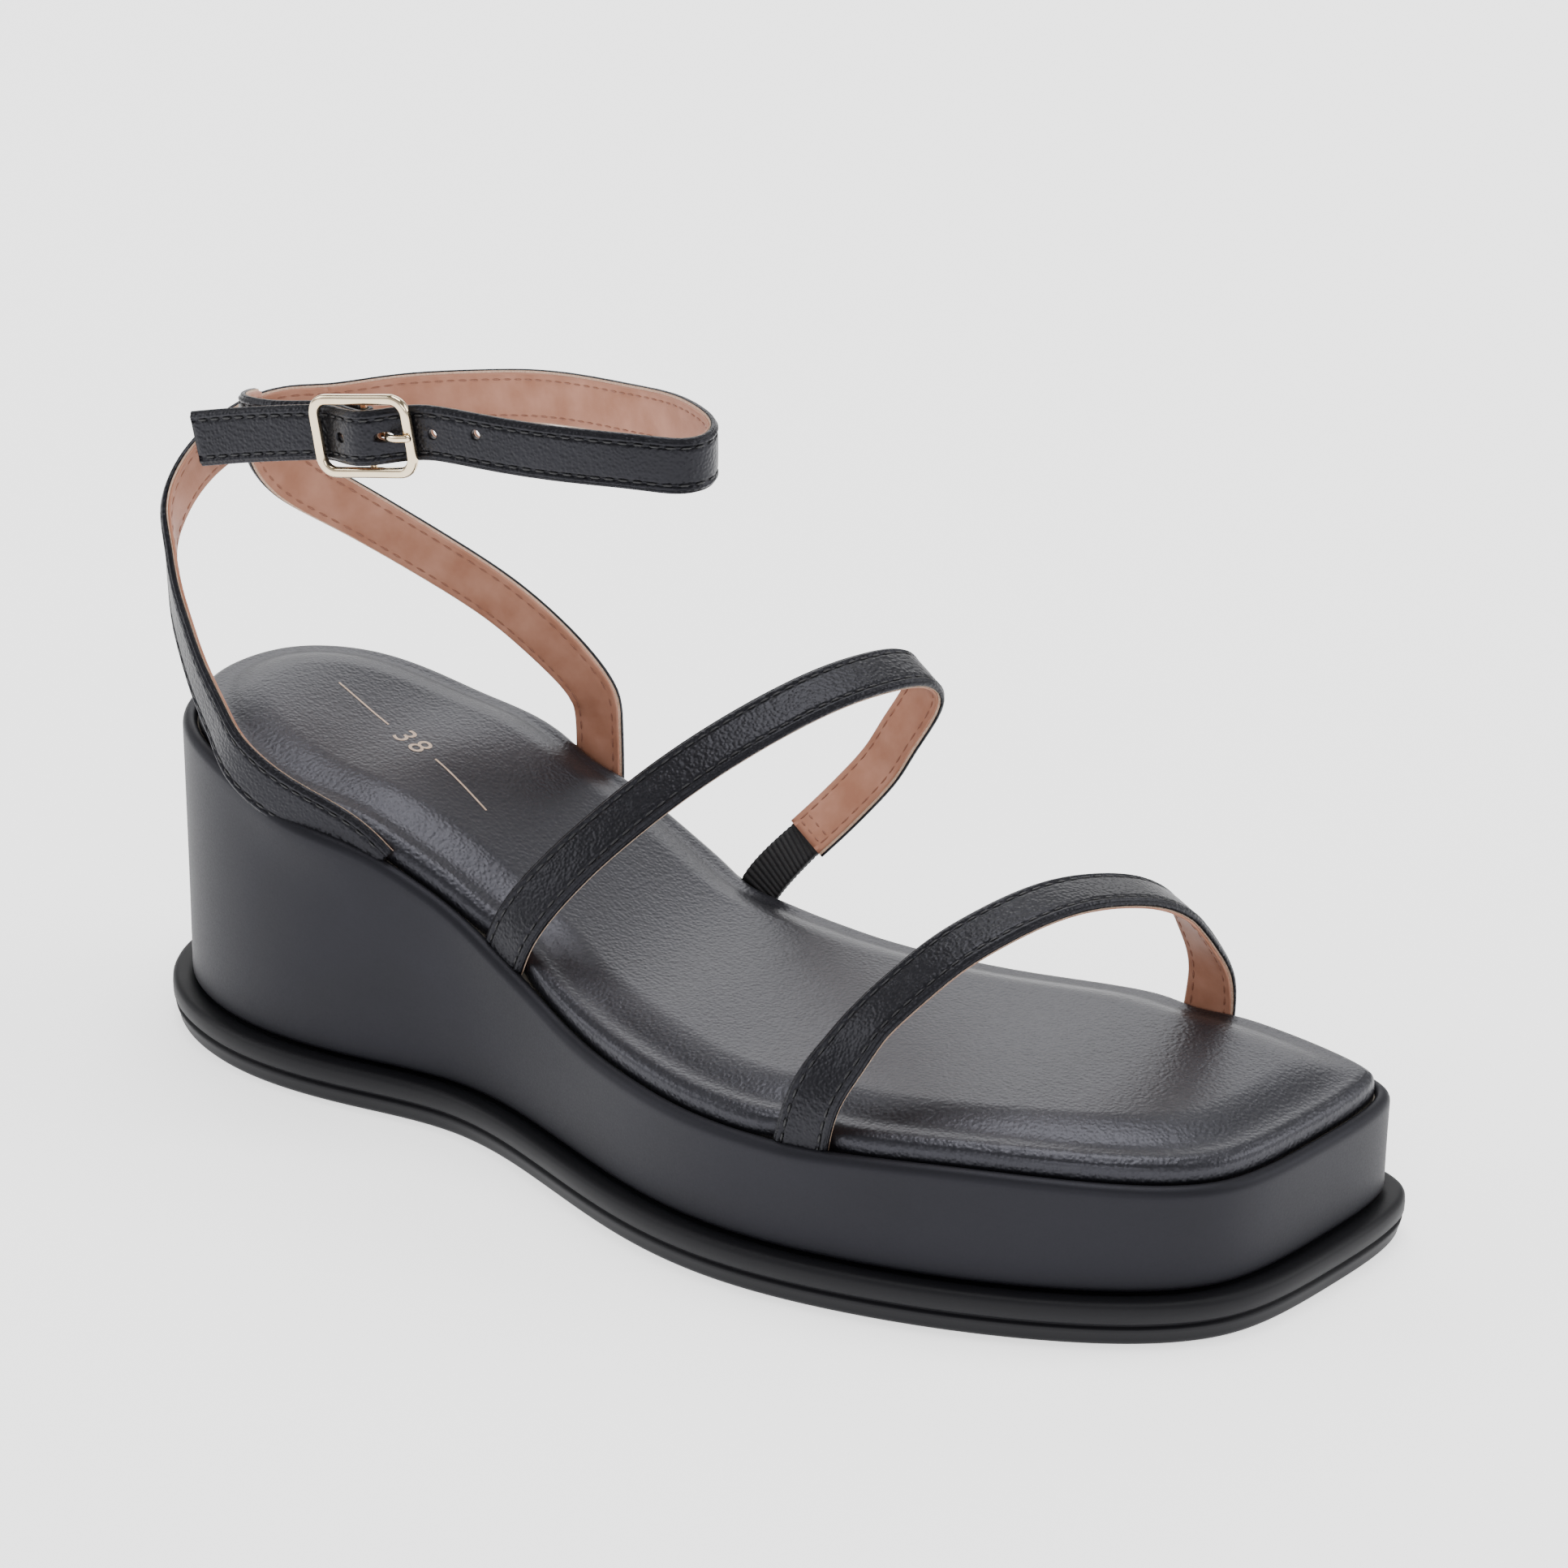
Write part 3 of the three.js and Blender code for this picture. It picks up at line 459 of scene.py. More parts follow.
# wedge wrap: a thin shell from the gap over the outsole, up the wall, rounded over the top edge
# and down into the crease beside the insole; it swells outward where a strap is let in
def makeWrap():
    look = {
        "wall": 0.9, "base": 0.25, "lowRound": 1.2, "topRound": 1.9, "flare": 0.3,
        "swell": 0.75, "swellReach": 7.5, "swellFall": 8.0, "swellMost": 2.2,
        "crease": ((6.1, 0.2), (6.5, 0.9), (6.6, 1.9), (9.5, 2.0), (9.5, 2.7)), "backGap": 0.6,
    }
    base = sole["thickness"] + look["base"]
    flat = edge + edgeIn * sole["flange"]
    top = seamZ(flat[:, 0])
    near = nearFeet(flat[:, 0], flat[:, 1], wrapFeet, look["swellReach"])
    swell = look["swell"] * np.clip(near, 0, look["swellMost"])
    low, r = look["lowRound"], look["topRound"]

    def wallInset(z):
        share = (z - base) / (top - base)
        fall = np.exp(-((top - z) / look["swellFall"]) ** 2)
        return sole["flange"] - look["flare"] * share ** 2 - swell * fall

    rows = [ring(sole["flange"] + low * (1 - math.sin(t)), base + low * (1 - math.cos(t)))
            for t in np.linspace(0, pi / 2, 7)[:-1]]
    for share in np.linspace(0, 1, 26):
        z = base + low + (top - r - base - low) * share
        rows.append(ring(wallInset(z), z))
    for t in np.linspace(0, pi / 2, 8)[1:]:
        rows.append(ring(wallInset(top - r) + r * (1 - math.cos(t)), top - r * (1 - math.sin(t))))
    rows += [ring(inset, top - drop) for inset, drop in look["crease"]]
    back = sole["flange"] + look["wall"] + look["backGap"]
    rows += [ring(back, top - look["crease"][-1][1]), ring(back, base + low)]
    vertices, faces = skinRings(rows, closed=True)
    return makeMesh("wedgeWrap", vertices, faces, wrapLeather)


# distance to a closed rim, smooth in the middle: the inverse fourth powers of the distances to its
# points, weighted by their spacing, are added up, and a cube root turns the sum back into a length
def depthInside(x, y, rim):
    spacing = np.linalg.norm(rim - np.roll(rim, 1, axis=0), axis=1).astype(np.float32)
    dx = x.ravel().astype(np.float32)[:, None] - rim[:, 0].astype(np.float32)
    dy = y.ravel().astype(np.float32)[:, None] - rim[:, 1].astype(np.float32)
    total = (spacing / (dx * dx + dy * dy) ** 2).sum(axis=1)
    return np.cbrt(pi / 2 / total.astype(float)).reshape(x.shape)


insolePad = {"inset": 6.75, "rollHeight": 3.7, "rollWidth": 3.0, "squareness": 2.2, "shoulderRise": 2.3,
             "shoulderWidth": 10.5, "valley": 0.22, "valleyAt": 5.2, "valleyWidth": 1.9, "wave": 0.1,
             "footDent": 1.7, "footReach": 6.5, "steepPart": 1.9}
insoleEdge = edge + edgeIn * 6
near = nearFeet(insoleEdge[:, 0], insoleEdge[:, 1], feet, insolePad["footReach"])
insoleInset = insolePad["inset"] + insolePad["footDent"] * np.clip(near, 0, 1)
insoleRim = ring(insoleInset, 0.0)[:, :2]


# height of the insole over the seam at a depth from its rim: a quarter of a squarish circle, a
# bell-shaped valley, then a smooth shoulder up to a gently uneven plateau
def insoleHeight(x, y, depth):
    look = insolePad
    share = np.clip(1 - depth / look["rollWidth"], 0, 1)
    roll = look["rollHeight"] * (1 - share ** look["squareness"]) ** (1 / look["squareness"])
    toe = 1 - 0.75 * smooth((x - 0.88 * sole["length"]) / (0.08 * sole["length"]))
    valley = look["valley"] * toe * np.exp(-((depth - look["valleyAt"]) / look["valleyWidth"]) ** 2)
    shoulder = look["shoulderRise"] * smooth((depth - 2.4) / look["shoulderWidth"])
    wave = look["wave"] * np.sin(x / 8.5 + 0.7 * np.sin(y / 12.0)) * np.sin(y / 9.0 + 1.0 + x / 40)
    return 0.2 + roll - valley + shoulder + wave * smooth((depth - 6) / 8)


# padded insole: rings round its steep rim, then a grid over the top whose height follows the
# smooth distance to the rim
def makeInsole():
    def aboveSeam(extra):
        return lambda x, y, v=None: seamZ(x) + extra

    rows = [ring(insoleInset + 2.0, aboveSeam(-1.2)), ring(insoleInset + 0.4, aboveSeam(-1.2)),
            ring(insoleInset, aboveSeam(-0.8))]
    for depth in insolePad["steepPart"] * (1 - np.cos(np.linspace(0, pi / 2, 14))):
        bow = 0.45 * math.sin(pi * min(1.0, depth / 1.2))
        rows.append(ring(insoleInset + depth - bow * 0.5, lambda x, y: seamZ(x) + insoleHeight(x, y, depth)))
    rim = np.stack([insoleRim, (insoleRim + np.roll(insoleRim, -1, axis=0)) / 2], axis=1).reshape(-1, 2)

    def top(x, y, v):
        depth = np.maximum(depthInside(x, y, rim), insolePad["steepPart"])
        return seamZ(x) + insoleHeight(x, y, depth)

    vertices, faces = skinRings(rows, lowCap=aboveSeam(-1.2), highCap=top, columns=110)
    return makeMesh("insolePad", vertices, faces, insoleLeather)


def bakedMesh(obj):
    bpy.context.view_layer.update()
    return bpy.data.meshes.new_from_object(obj.evaluated_get(bpy.context.evaluated_depsgraph_get()))


# stamped foil: the shoe size between two short rules, laid on the insole where its height says
def makeFoil():
    look = {"size": 7.0, "spacing": 1.25, "centre": (52.0, -2.0), "turn": -14.0, "rule": 15.0,
            "ruleSteps": 12, "gap": 7.0, "width": 0.42, "proud": 0.05}
    curve = bpy.data.curves.new("sizeMark", "FONT")
    curve.body = "38"
    curve.size = look["size"]
    curve.align_x = curve.align_y = "CENTER"
    curve.space_character = look["spacing"]
    text = addObject("sizeMark", curve)
    mesh = bakedMesh(text)
    bpy.data.objects.remove(text, do_unlink=True)
    flat = np.zeros(len(mesh.vertices) * 3)
    mesh.vertices.foreach_get("co", flat)
    flat = flat.reshape(-1, 3)[:, :2]
    faces = [list(p.vertices) for p in mesh.polygons]
    bpy.data.meshes.remove(mesh)
    steps, half = look["ruleSteps"], look["width"] / 2
    for sign in (-1, 1):
        first = len(flat)
        x = sign * (look["gap"] + np.linspace(0, look["rule"], steps))
        flat = np.concatenate([flat, np.column_stack([np.repeat(x, 2), np.tile([-half, half], steps)])])
        faces += [[first + 2 * i + corner for corner in (0, 2, 3, 1)][::sign] for i in range(steps - 1)]
    u, v = flat.T
    a = math.radians(look["turn"])
    x = look["centre"][0] + u * math.cos(a) - v * math.sin(a)
    y = look["centre"][1] + u * math.sin(a) + v * math.cos(a)
    z = seamZ(x) + insoleHeight(x, y, depthInside(x, y, insoleRim)) + look["proud"]
    done = bpy.data.meshes.new("sizeMark")
    done.from_pydata(((np.column_stack([x, y, z]) + shoeZero) * mm).tolist(), [], faces)
    done.materials.append(printFoil)
    return addObject("sizeMark", done)


def unit(v):
    return v / np.linalg.norm(v, axis=-1, keepdims=True)


# distance travelled at each point of a line
def travelled(points):
    return np.concatenate([[0], np.cumsum(np.linalg.norm(np.diff(points, axis=0), axis=1))])


# stations along a path, evenly spaced by length: place, direction along it, the way its outer
# face looks, and across it
def runOf(path, faceAway, start=0.0, stop=None, step=strap["step"]):
    fine = np.linspace(start, path.last if stop is None else stop, 1500)
    far = travelled(path(fine))
    count = max(4, int(far[-1] / step))
    u = np.interp(np.linspace(0, far[-1], count + 1), far, fine)
    place = path(u)
    along = unit(path(u + 0.01) - path(u - 0.01))
    face = faceAway(place, along)
    face = unit(face - along * np.sum(face * along, axis=1)[:, None])
    across = unit(np.cross(face, along))
    return {"place": place, "along": along, "face": face, "across": across,
            "length": np.interp(u, fine, far)}


# turns all faces over where the volume inside them, added up from fans of triangles, is negative
def outward(vertices, faces):
    fans = np.concatenate([f[:, [0, j, j + 1]] for f in faces for j in range(1, f.shape[1] - 1)])
    a, b, c = (vertices[fans[:, i]] for i in range(3))
    turn = -1 if np.sum(a * np.cross(b, c)) < 0 else 1
    return [f[:, ::turn] for f in faces]


# skins a tube given as rings of points: a fan closes each end, or the last ring meets the first
def tubeFaces(points, closed=False):
    n, k = points.shape[:2]
    rows = np.arange(n * k).reshape(n, k)
    quads = np.concatenate([bandFaces(rows[i], rows[(i + 1) % n]) for i in range(n if closed else n - 1)])
    vertices, triangles = points.reshape(-1, 3), np.zeros((0, 3), int)
    if not closed:
        vertices = np.concatenate([vertices, points[[0, -1]].mean(axis=1)])
        triangles = np.concatenate([
            np.column_stack([np.full(k, n * k), np.roll(rows[0], -1), rows[0]]),
            np.column_stack([np.full(k, n * k + 1), rows[-1], np.roll(rows[-1], -1)])])
    return vertices, outward(vertices, [quads, triangles])


# carries a closed profile of (depth, side) points along a run
def sweep(name, run, profile, material, sideShift=0.0):
    points = run["place"][:, None] + run["face"][:, None] * profile[:, :1] \
        + run["across"][:, None] * (profile[:, 1:] + sideShift)
    uv = np.stack(np.broadcast_arrays(run["length"][:, None], travelled(profile)), axis=-1) * mm
    uv = np.concatenate([uv.reshape(-1, 2), uv[[0, -1], 0]])
    vertices, faces = tubeFaces(points)
    return makeMesh(name, vertices, faces, material, uv=uv)


# outer leather, in depth and side: a shallow crown less two bell-shaped stitch grooves, plus a roll
# along each turned edge; half circles close the edges
def leatherProfile(width, thickness, low):
    half = width / 2
    side = np.linspace(-half + 0.4, half - 0.4, 61)
    fromEdge = half - np.abs(side)
    crown = 0.12 * (1 - (side / half) ** 2)
    groove = 0.3 * np.exp(-((fromEdge - strap["stitchIn"]) / 0.33) ** 2)
    roll = 0.12 * np.exp(-((fromEdge - 0.95) / 0.35) ** 2) - 0.32 * np.exp(-((fromEdge - 0.4) / 0.3) ** 2)
    face = np.column_stack([low + thickness + crown - groove + roll, side])
    arc = np.linspace(0, pi, 9)[1:-1]
    radius = (thickness - 0.25) / 2
    right = np.column_stack([low + radius * (1 + np.cos(arc)), half - 0.4 + 0.4 * np.sin(arc)])
    left = np.column_stack([low + radius * (1 - np.cos(arc)), 0.4 - half - 0.4 * np.sin(arc)])
    floor = np.column_stack([np.full(7, low), np.linspace(half - 0.5, 0.5 - half, 7)])
    return np.concatenate([face, right, floor, left])


# a thin flat band with softened corners, between two depths
def flatProfile(width, low, high, groove=0.0):
    half = width / 2
    side = np.linspace(-half + 0.2, half - 0.2, 25)
    edgeDistance = half - np.abs(side)
    dip = groove * np.exp(-((edgeDistance - strap["stitchIn"] + 0.5) / 0.35) ** 2)
    under = np.column_stack([low + dip, side])
    corner = 0.12
    over = np.column_stack([np.full(7, high), np.linspace(half - 0.1, -half + 0.1, 7)])
    right = [(low + corner, half), (high - corner, half)]
    left = [(high - corner, -half), (low + corner, -half)]
    return np.concatenate([under, right, over, left])


# a run's place and directions at some distances along it
def alongRun(run, at):
    return {key: np.column_stack([np.interp(at, run["length"], run[key][:, i]) for i in range(3)])
            for key in ("place", "along", "across", "face")}


# a stitch is a little capsule lying in its groove; all stitches are one array: the capsule's
# points times the three directions of each station
def stitchRows(name, run, depth, sides, material, pitch=strap["stitchPitch"], start=1.2, stop=1.2,
               radius=0.2):
    look = {"rings": 5, "around": 6, "length": 0.72, "wide": 1.25, "flat": 0.8}
    s = np.linspace(-1, 1, look["rings"])
    girth = np.sqrt(np.clip(1 - s ** 4, 0.04, 1))[:, None]
    angle = np.arange(look["around"]) / look["around"] * 2 * pi
    capsule = np.stack(np.broadcast_arrays(
        s[:, None] * pitch * look["length"] / 2,
        girth * np.cos(angle) * radius * look["wide"],
        girth * np.sin(angle) * radius * look["flat"]), axis=-1).reshape(-1, 3)
    total = run["length"][-1] - start - stop
    count = int(total / pitch)
    here = alongRun(run, start + (np.arange(count) + 0.5) * total / count)
    centre = here["place"] + here["across"] * np.reshape(sides, (-1, 1, 1)) + here["face"] * depth
    vertices = centre[..., None, :] + here["along"][:, None] * capsule[:, :1] \
        + here["across"][:, None] * capsule[:, 1:2] + here["face"][:, None] * capsule[:, 2:]
    rows = np.arange(len(capsule)).reshape(look["rings"], -1)
    quads = np.concatenate([bandFaces(low, high) for low, high in zip(rows, rows[1:])])
    step = np.arange(len(sides) * count)[:, None, None] * len(capsule)
    lids = np.stack([rows[0][::-1], rows[-1]])
    faces = [(part + step).reshape(-1, part.shape[1]) for part in (quads, lids)]
    vertices = vertices.reshape(-1, 3)
    return makeMesh(name, vertices, outward(vertices, faces), material)


# a short run across a strap, back from its end, for a row of stitches that closes it
def crossRun(run, back, width):
    here = alongRun(run, run["length"][-1] - back)
    side = np.linspace(-width / 2, width / 2, 12)[:, None]
    wide = np.ones_like(side)
    return {"place": here["place"] + here["across"] * side, "along": here["across"] * wide,
            "across": -here["along"] * wide, "face": here["face"] * wide, "length": side[:, 0] - side[0]}


# one strap: leather, lining, the raw edge between them, and the stitches on both faces
def makeStrap(name, run, start=1.2, stop=1.2):
    width, tape = strap["width"], strap["tape"]
    low = strap["lining"] - thick / 2
    sides = [strap["stitchIn"] - width / 2, width / 2 - strap["stitchIn"]]
    leather = leatherProfile(width, strap["leather"], low)
    lining = flatProfile(width - 1.0, -thick / 2, low - tape, 0.1)
    return {
        "leather": sweep(name + "Leather", run, leather, strapLeather),
        "lining": sweep(name + "Lining", run, lining, liningLeather),
        "tape": sweep(name + "RawEdge", run, flatProfile(width - 0.25, low - tape, low), rawEdge),
        "stitches": stitchRows(name + "Stitches", run, thick / 2 - 0.02, sides, blackThread,
                               start=start, stop=stop),
        "liningStitches": stitchRows(name + "LiningStitches", run, -thick / 2 + 0.04, sides, tanThread,
                                     start=start, stop=stop, radius=0.16),
    }


# an arch between two feet, points as shares of the span and the height, leaning forward;
# near a foot its face turns to lie along the edge of the sole
def archPath(start, end, shape, height, lean, first, last):
    tilt = math.radians(lean)
    rise = np.array([math.sin(tilt), 0, math.cos(tilt)]) * height
    span = end["at"] - start["at"]
    points = [start["at"] + span * a + rise * h for a, h in shape]
    path = splineThrough([*first, *points, *last])
    plane = unit(np.cross(span, rise))
    middle = (start["at"] + end["at"]) / 2

    def faceAway(place, along):
        face = np.cross(np.broadcast_to(plane, along.shape), along)
        face *= np.sign(np.sum(face * (place - middle), axis=1))[:, None]
        for foot in (start, end):
            if foot["out"] is not None:
                near = 1 - np.linalg.norm(place - foot["at"], axis=1) / strap["footTurn"]
                turn = np.clip(near, 0, 1)[:, None]
                face = face * (1 - turn) + foot["out"] * turn
        return face

    return path, faceAway


def sunk(p, depth=None):
    return p - np.array([0, 0, strap["tuck"] if depth is None else depth])


toe = {
    "height": 37.5,
    "lean": 10,
    "shape": [(0.02, 0.26), (0.07, 0.45), (0.12, 0.6), (0.2, 0.746), (0.277, 0.858), (0.373, 0.94),
              (0.544, 1), (0.721, 0.923), (0.804, 0.834), (0.872, 0.709), (0.937, 0.5), (0.986, 0.278)],
}
instep = {
    "height": 42.5,
    "lean": 22,
    "shape": [(0.008, 0.13), (0.04, 0.28), (0.101, 0.417), (0.182, 0.545), (0.353, 0.739), (0.578, 0.894),
              (0.82, 0.974), (1, 0.965), (1.14, 0.9), (1.215, 0.775), (1.222, 0.64), (1.195, 0.475),
              (1.173, 0.333), (1.119, 0.2), (1.059, 0.09), (1, 0)],
    "goreRise": (0.5, 0.14, 0.75),
    "goreLength": 16.5,
}
toePath, toeFace = archPath(*toeFeet, toe["shape"], toe["height"], toe["lean"],
                            [sunk(toeFeet[0]["at"])], [sunk(toeFeet[1]["at"])])
goreRise = unit(np.array(instep["goreRise"]))
instepEnd = {"at": goreFoot["at"] + goreRise * instep["goreLength"], "out": None}
instepPath, instepFace = archPath(instepFoot, instepEnd, instep["shape"], instep["height"], instep["lean"],
                                  [sunk(instepFoot["at"], 0.9)], [])

# ankle straps: points listed in millimetres from the heel and above the outer foot
longShape = [
    (53.5, -32.3, 2.7), (45, -33.6, 5.9), (35.6, -34.2, 11.4), (29.7, -32.4, 17), (23.7, -29.9, 23),
    (18.7, -27.5, 29.5), (14.8, -25.3, 36), (11.3, -22.3, 42.2), (8.3, -18.6, 48), (7, -13.5, 53.2),
    (6.6, -7, 56.8), (6.6, 0.5, 59), (8.4, 7.6, 60.8), (12.8, 13.4, 61.9), (20, 17.2, 62.8),
    (31.5, 22.6, 65.3), (50, 25.4, 69.3), (63, 24.6, 72.2), (76, 21.8, 74.7), (90, 17.6, 77.1),
    (103, 11.8, 79.8), (112.5, 6, 81.3), (118.8, 1, 81.6), (121, -4.2, 81.3), (119, -9, 81.3),
    (112.5, -12.9, 81.8), (99.5, -16.2, 81.4), (84, -18.4, 80.9),
]
shortShape = [
    (71.6, 32.2, 5), (70.8, 31.2, 11), (66.4, 30, 16.6), (58.4, 28, 23.5), (49.6, 26, 29.2),
    (33.5, 22, 37.2), (22, 17, 43.8), (16, 11.2, 49.4), (13.8, 5.6, 56), (14.6, 0.2, 63.6),
    (19.6, -6.4, 68.6),
]
buckle = {
    "centre": (58, -21, 78.2), "along": (0.98, 0.1, 0.175), "length": 21.8, "height": 16.0,
    "rail": 2.0, "depth": 1.7, "corner": 4.0, "bar": 0.7, "drop": 1.8, "wrapReach": 1.65, "prong": 0.72,
    "prongHole": 4.9, "holePitch": 9.3, "hole": 1.0, "prongSlot": 1.75, "tail": 38.0, "droop": 1.4,
}
gap = 0.3


def anklePoint(p):
    return np.array([p[0], p[1], p[2] + outerFoot["at"][2]])


buckleAlong = unit(np.array(buckle["along"]))
buckleOut = unit(np.cross(np.array([0.0, 0, 1]), buckleAlong)) * -1
buckleUp = unit(np.cross(buckleOut, buckleAlong))
buckleCentre = anklePoint(buckle["centre"])
framePlane = 0.8 + gap + 1.05          # frame's middle plane in front of the strap
railAt = buckle["length"] / 2 - buckle["rail"] / 2
strapLift = framePlane - buckle["drop"] + buckle["wrapReach"] + gap + 1.05


# a point beside the strap at the buckle: along it, out from it, up across it, dropped by gravity
def onStrap(along, out=0.0, up=0.0, drop=0.0):
    return buckleCentre + buckleAlong * along + buckleOut * out + buckleUp * up - np.array([0, 0, drop])


def onFrame(along, out, up=0.0):
    return onStrap(along, out + framePlane, up)


longPath = splineThrough([
    outerFoot["at"] + np.array([4.5, 1.6, -4.2]), outerFoot["at"] + np.array([0, 0.6, -0.4]),
    *[anklePoint(p) for p in longShape],
    onStrap(14), onStrap(railAt - 1.2), onStrap(4.5, strapLift * 0.56), onStrap(0, strapLift),
    onStrap(-4.5, strapLift * 0.56), onStrap(1.2 - railAt), onStrap(-14),
    onStrap(-26, drop=0.5), onStrap(-buckle["tail"], drop=buckle["droop"]),
])
strapUnder = -2.4
shortPath = splineThrough([
    sunk(innerFoot["at"]), innerFoot["at"], *[anklePoint(p) for p in shortShape],
    onStrap(-31, strapUnder - 3.4), onStrap(-22, strapUnder - 0.2), onStrap(-15, strapUnder),
    onStrap(-8.5, strapUnder),
])


# the face looks level and away from the ankle, and near its foot along the edge of the sole;
# turn is the way round that the strap runs
def faceAnkle(turn, foot, reach):
    def faceAway(place, along):
        flat = np.cross(along, [0, 0, 1.0]) * turn
        away = place - np.array([foot["at"][0], 0, 0])
        away[:, 2] = 0
        face = flat + unit(away) * 0.3
        near = smooth(1 - np.linalg.norm(place - foot["at"], axis=1) / reach)[:, None]
        return face * (1 - near) + foot["out"] * near
    return faceAway


longFace = faceAnkle(-1, outerFoot, 42.0)
shortFace = faceAnkle(1, innerFoot, 30.0)


print("paths ready")

outsole = makeOutsole()
wrap = makeWrap()
insole = makeInsole()
for piece, node, slotName in ((outsole, "outsole", "outsole_rubber"), (wrap, "wedge_cover", "wrap_leather"),
                              (insole, "insole_cover", "insole_leather")):
    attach(piece, "sole")
    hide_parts(node)
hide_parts("footbed_foam")
foil = makeFoil()
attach(foil, "sole")
print("sole made")

toeRun = runOf(toePath, toeFace)
instepRun = runOf(instepPath, instepFace)
splitAt = 16.0                         # on the far side, where the long strap's two pieces meet
rearRun = runOf(longPath, longFace, 0.0, splitAt)
frontRun = runOf(longPath, longFace, splitAt, longPath.last, step=0.9)
shortRun = runOf(shortPath, shortFace)


def dress(nodes):
    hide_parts(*nodes)
    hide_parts(*[node + "_lining" for node in nodes])


toeParts = makeStrap("toeStrap", toeRun)
instepParts = makeStrap("instepStrap", instepRun)
rearParts = makeStrap("ankleRear", rearRun, 2, 0)
frontParts = makeStrap("ankleFront", frontRun, 0)
shortParts = makeStrap("buckleStrap", shortRun)
dress(["toe_strap"])
dress(["instep_strap"])
dress(["outer_anchor", "ankle_loop"])
dress(["ankle_front", "ankle_tail"])
dress(["inner_anchor", "buckle_strap"])
crossLook = {"pitch": 2.0, "start": 0.1, "stop": 0.1}
for row, back in enumerate((1.5, 3.4)):
    across = crossRun(instepRun, back, strap["width"] - 2 * strap["stitchIn"])
    instepParts[f"cross{row}"] = stitchRows(
        f"instepCrossStitches{row}", across, thick / 2 + 0.12, [0], blackThread, **crossLook)
    instepParts[f"liningCross{row}"] = stitchRows(
        f"instepLiningCross{row}", across, -thick / 2 + 0.02, [0], tanThread, radius=0.17, **crossLook)
print("straps made")


# punched holes: a cylinder for each is taken out of the leather, the tape and the lining
def punch(parts):
    turns = np.arange(24) / 24 * 2 * pi
    for count in (-1, 0, 1, 2):
        at = buckle["prongHole"] + count * buckle["holePitch"]
        long = buckle["prongSlot"] if count == 0 else buckle["hole"]
        disc = np.array([onStrap(at + long * math.cos(t), up=buckle["hole"] * math.sin(t)) for t in turns])
        vertices, faces = tubeFaces(np.stack([disc - buckleOut * 6, disc + buckleOut * 8]))
        cutter = makeMesh("cutter", vertices, faces, strapLeather)
        for key in ("leather", "tape", "lining"):
            modifier = parts[key].modifiers.new("hole", "BOOLEAN")
            modifier.operation, modifier.object, modifier.solver = "DIFFERENCE", cutter, "EXACT"
            done = bakedMesh(parts[key])
            parts[key].modifiers.clear()
            parts[key].data = done
        bpy.data.objects.remove(cutter, do_unlink=True)


punch(frontParts)
print("holes punched")


# ribbed elastic: a flat band whose faces rise and fall across its length
def makeGore():
    look = {"width": 8.4, "thickness": 1.1, "rib": 1.15, "ribDepth": 0.26, "ribFoot": 0.16, "overlap": 6.0}
    last = instepPath([instepPath.last - 0.01, instepPath.last])
    way = unit(last[0] - last[1])
    end = instepEnd["at"]
    path = splineThrough([sunk(goreFoot["at"]), goreFoot["at"] + np.array([0, 0, 1.2]),
                          end + way * 2.5, end + way * look["overlap"]])

    def faceAway(place, along):
        risen = np.clip((place[:, 2] - goreFoot["at"][2]) / (end[2] - goreFoot["at"][2]), 0, 1)[:, None]
        return goreFoot["out"] * (1 - risen) + instepRun["face"][-1] * risen

    run = runOf(path, faceAway, step=0.13)
    ribs = look["ribDepth"] * np.abs(np.sin(pi * run["length"] / look["rib"]))
    depth = (look["thickness"] / 2 - look["ribFoot"] + ribs)[:, None, None]
    side = np.linspace(-look["width"] / 2, look["width"] / 2, 13)[:, None]
    place, face, across = (run[key][:, None] for key in ("place", "face", "across"))
    sides = [place + face * depth * sign + across * side[::sign] for sign in (1, -1)]
    vertices, faces = tubeFaces(np.concatenate(sides, axis=1))
    return makeMesh("elasticGore", vertices, faces, wovenElastic)


gore = makeGore()
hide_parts("instep_gore")


# a tube round a line of points, with a superellipse section: the cosine and sine of each turn are
# raised to two over its squareness
def metalTube(points, radius, closed=False, flatten=1.0, square=2.0, steps=160, taper=None):
    path = splineThrough(points, closed=closed)
    u = np.linspace(0, path.last, steps, endpoint=not closed)
    along = unit(path(u + 0.005) - path(u - 0.005))
    side = unit(np.cross(np.broadcast_to(buckleOut, along.shape), along) + 1e-9)
    lift = unit(np.cross(along, side))
    angle = np.arange(20) / 20 * 2 * pi
    section = np.column_stack([np.cos(angle), np.sin(angle)])
    section = np.sign(section) * np.abs(section) ** (2 / square) * radius
    size = np.ones(steps) if taper is None else taper(np.linspace(0, 1, steps))
    rings = path(u)[:, None] + side[:, None] * section[:, :1] * size[:, None, None] \
        + lift[:, None] * section[:, 1:] * flatten * size[:, None, None]
    return tubeFaces(rings, closed)


# makes one gold piece of several tubes
def joinTubes(name, tubes):
    firsts = np.cumsum([0, *[len(vertices) for vertices, _ in tubes[:-1]]])
    faces = [np.concatenate([tube[1][kind] + first for tube, first in zip(tubes, firsts)]) for kind in (0, 1)]
    return makeMesh(name, np.concatenate([vertices for vertices, _ in tubes]), faces, paleGold)


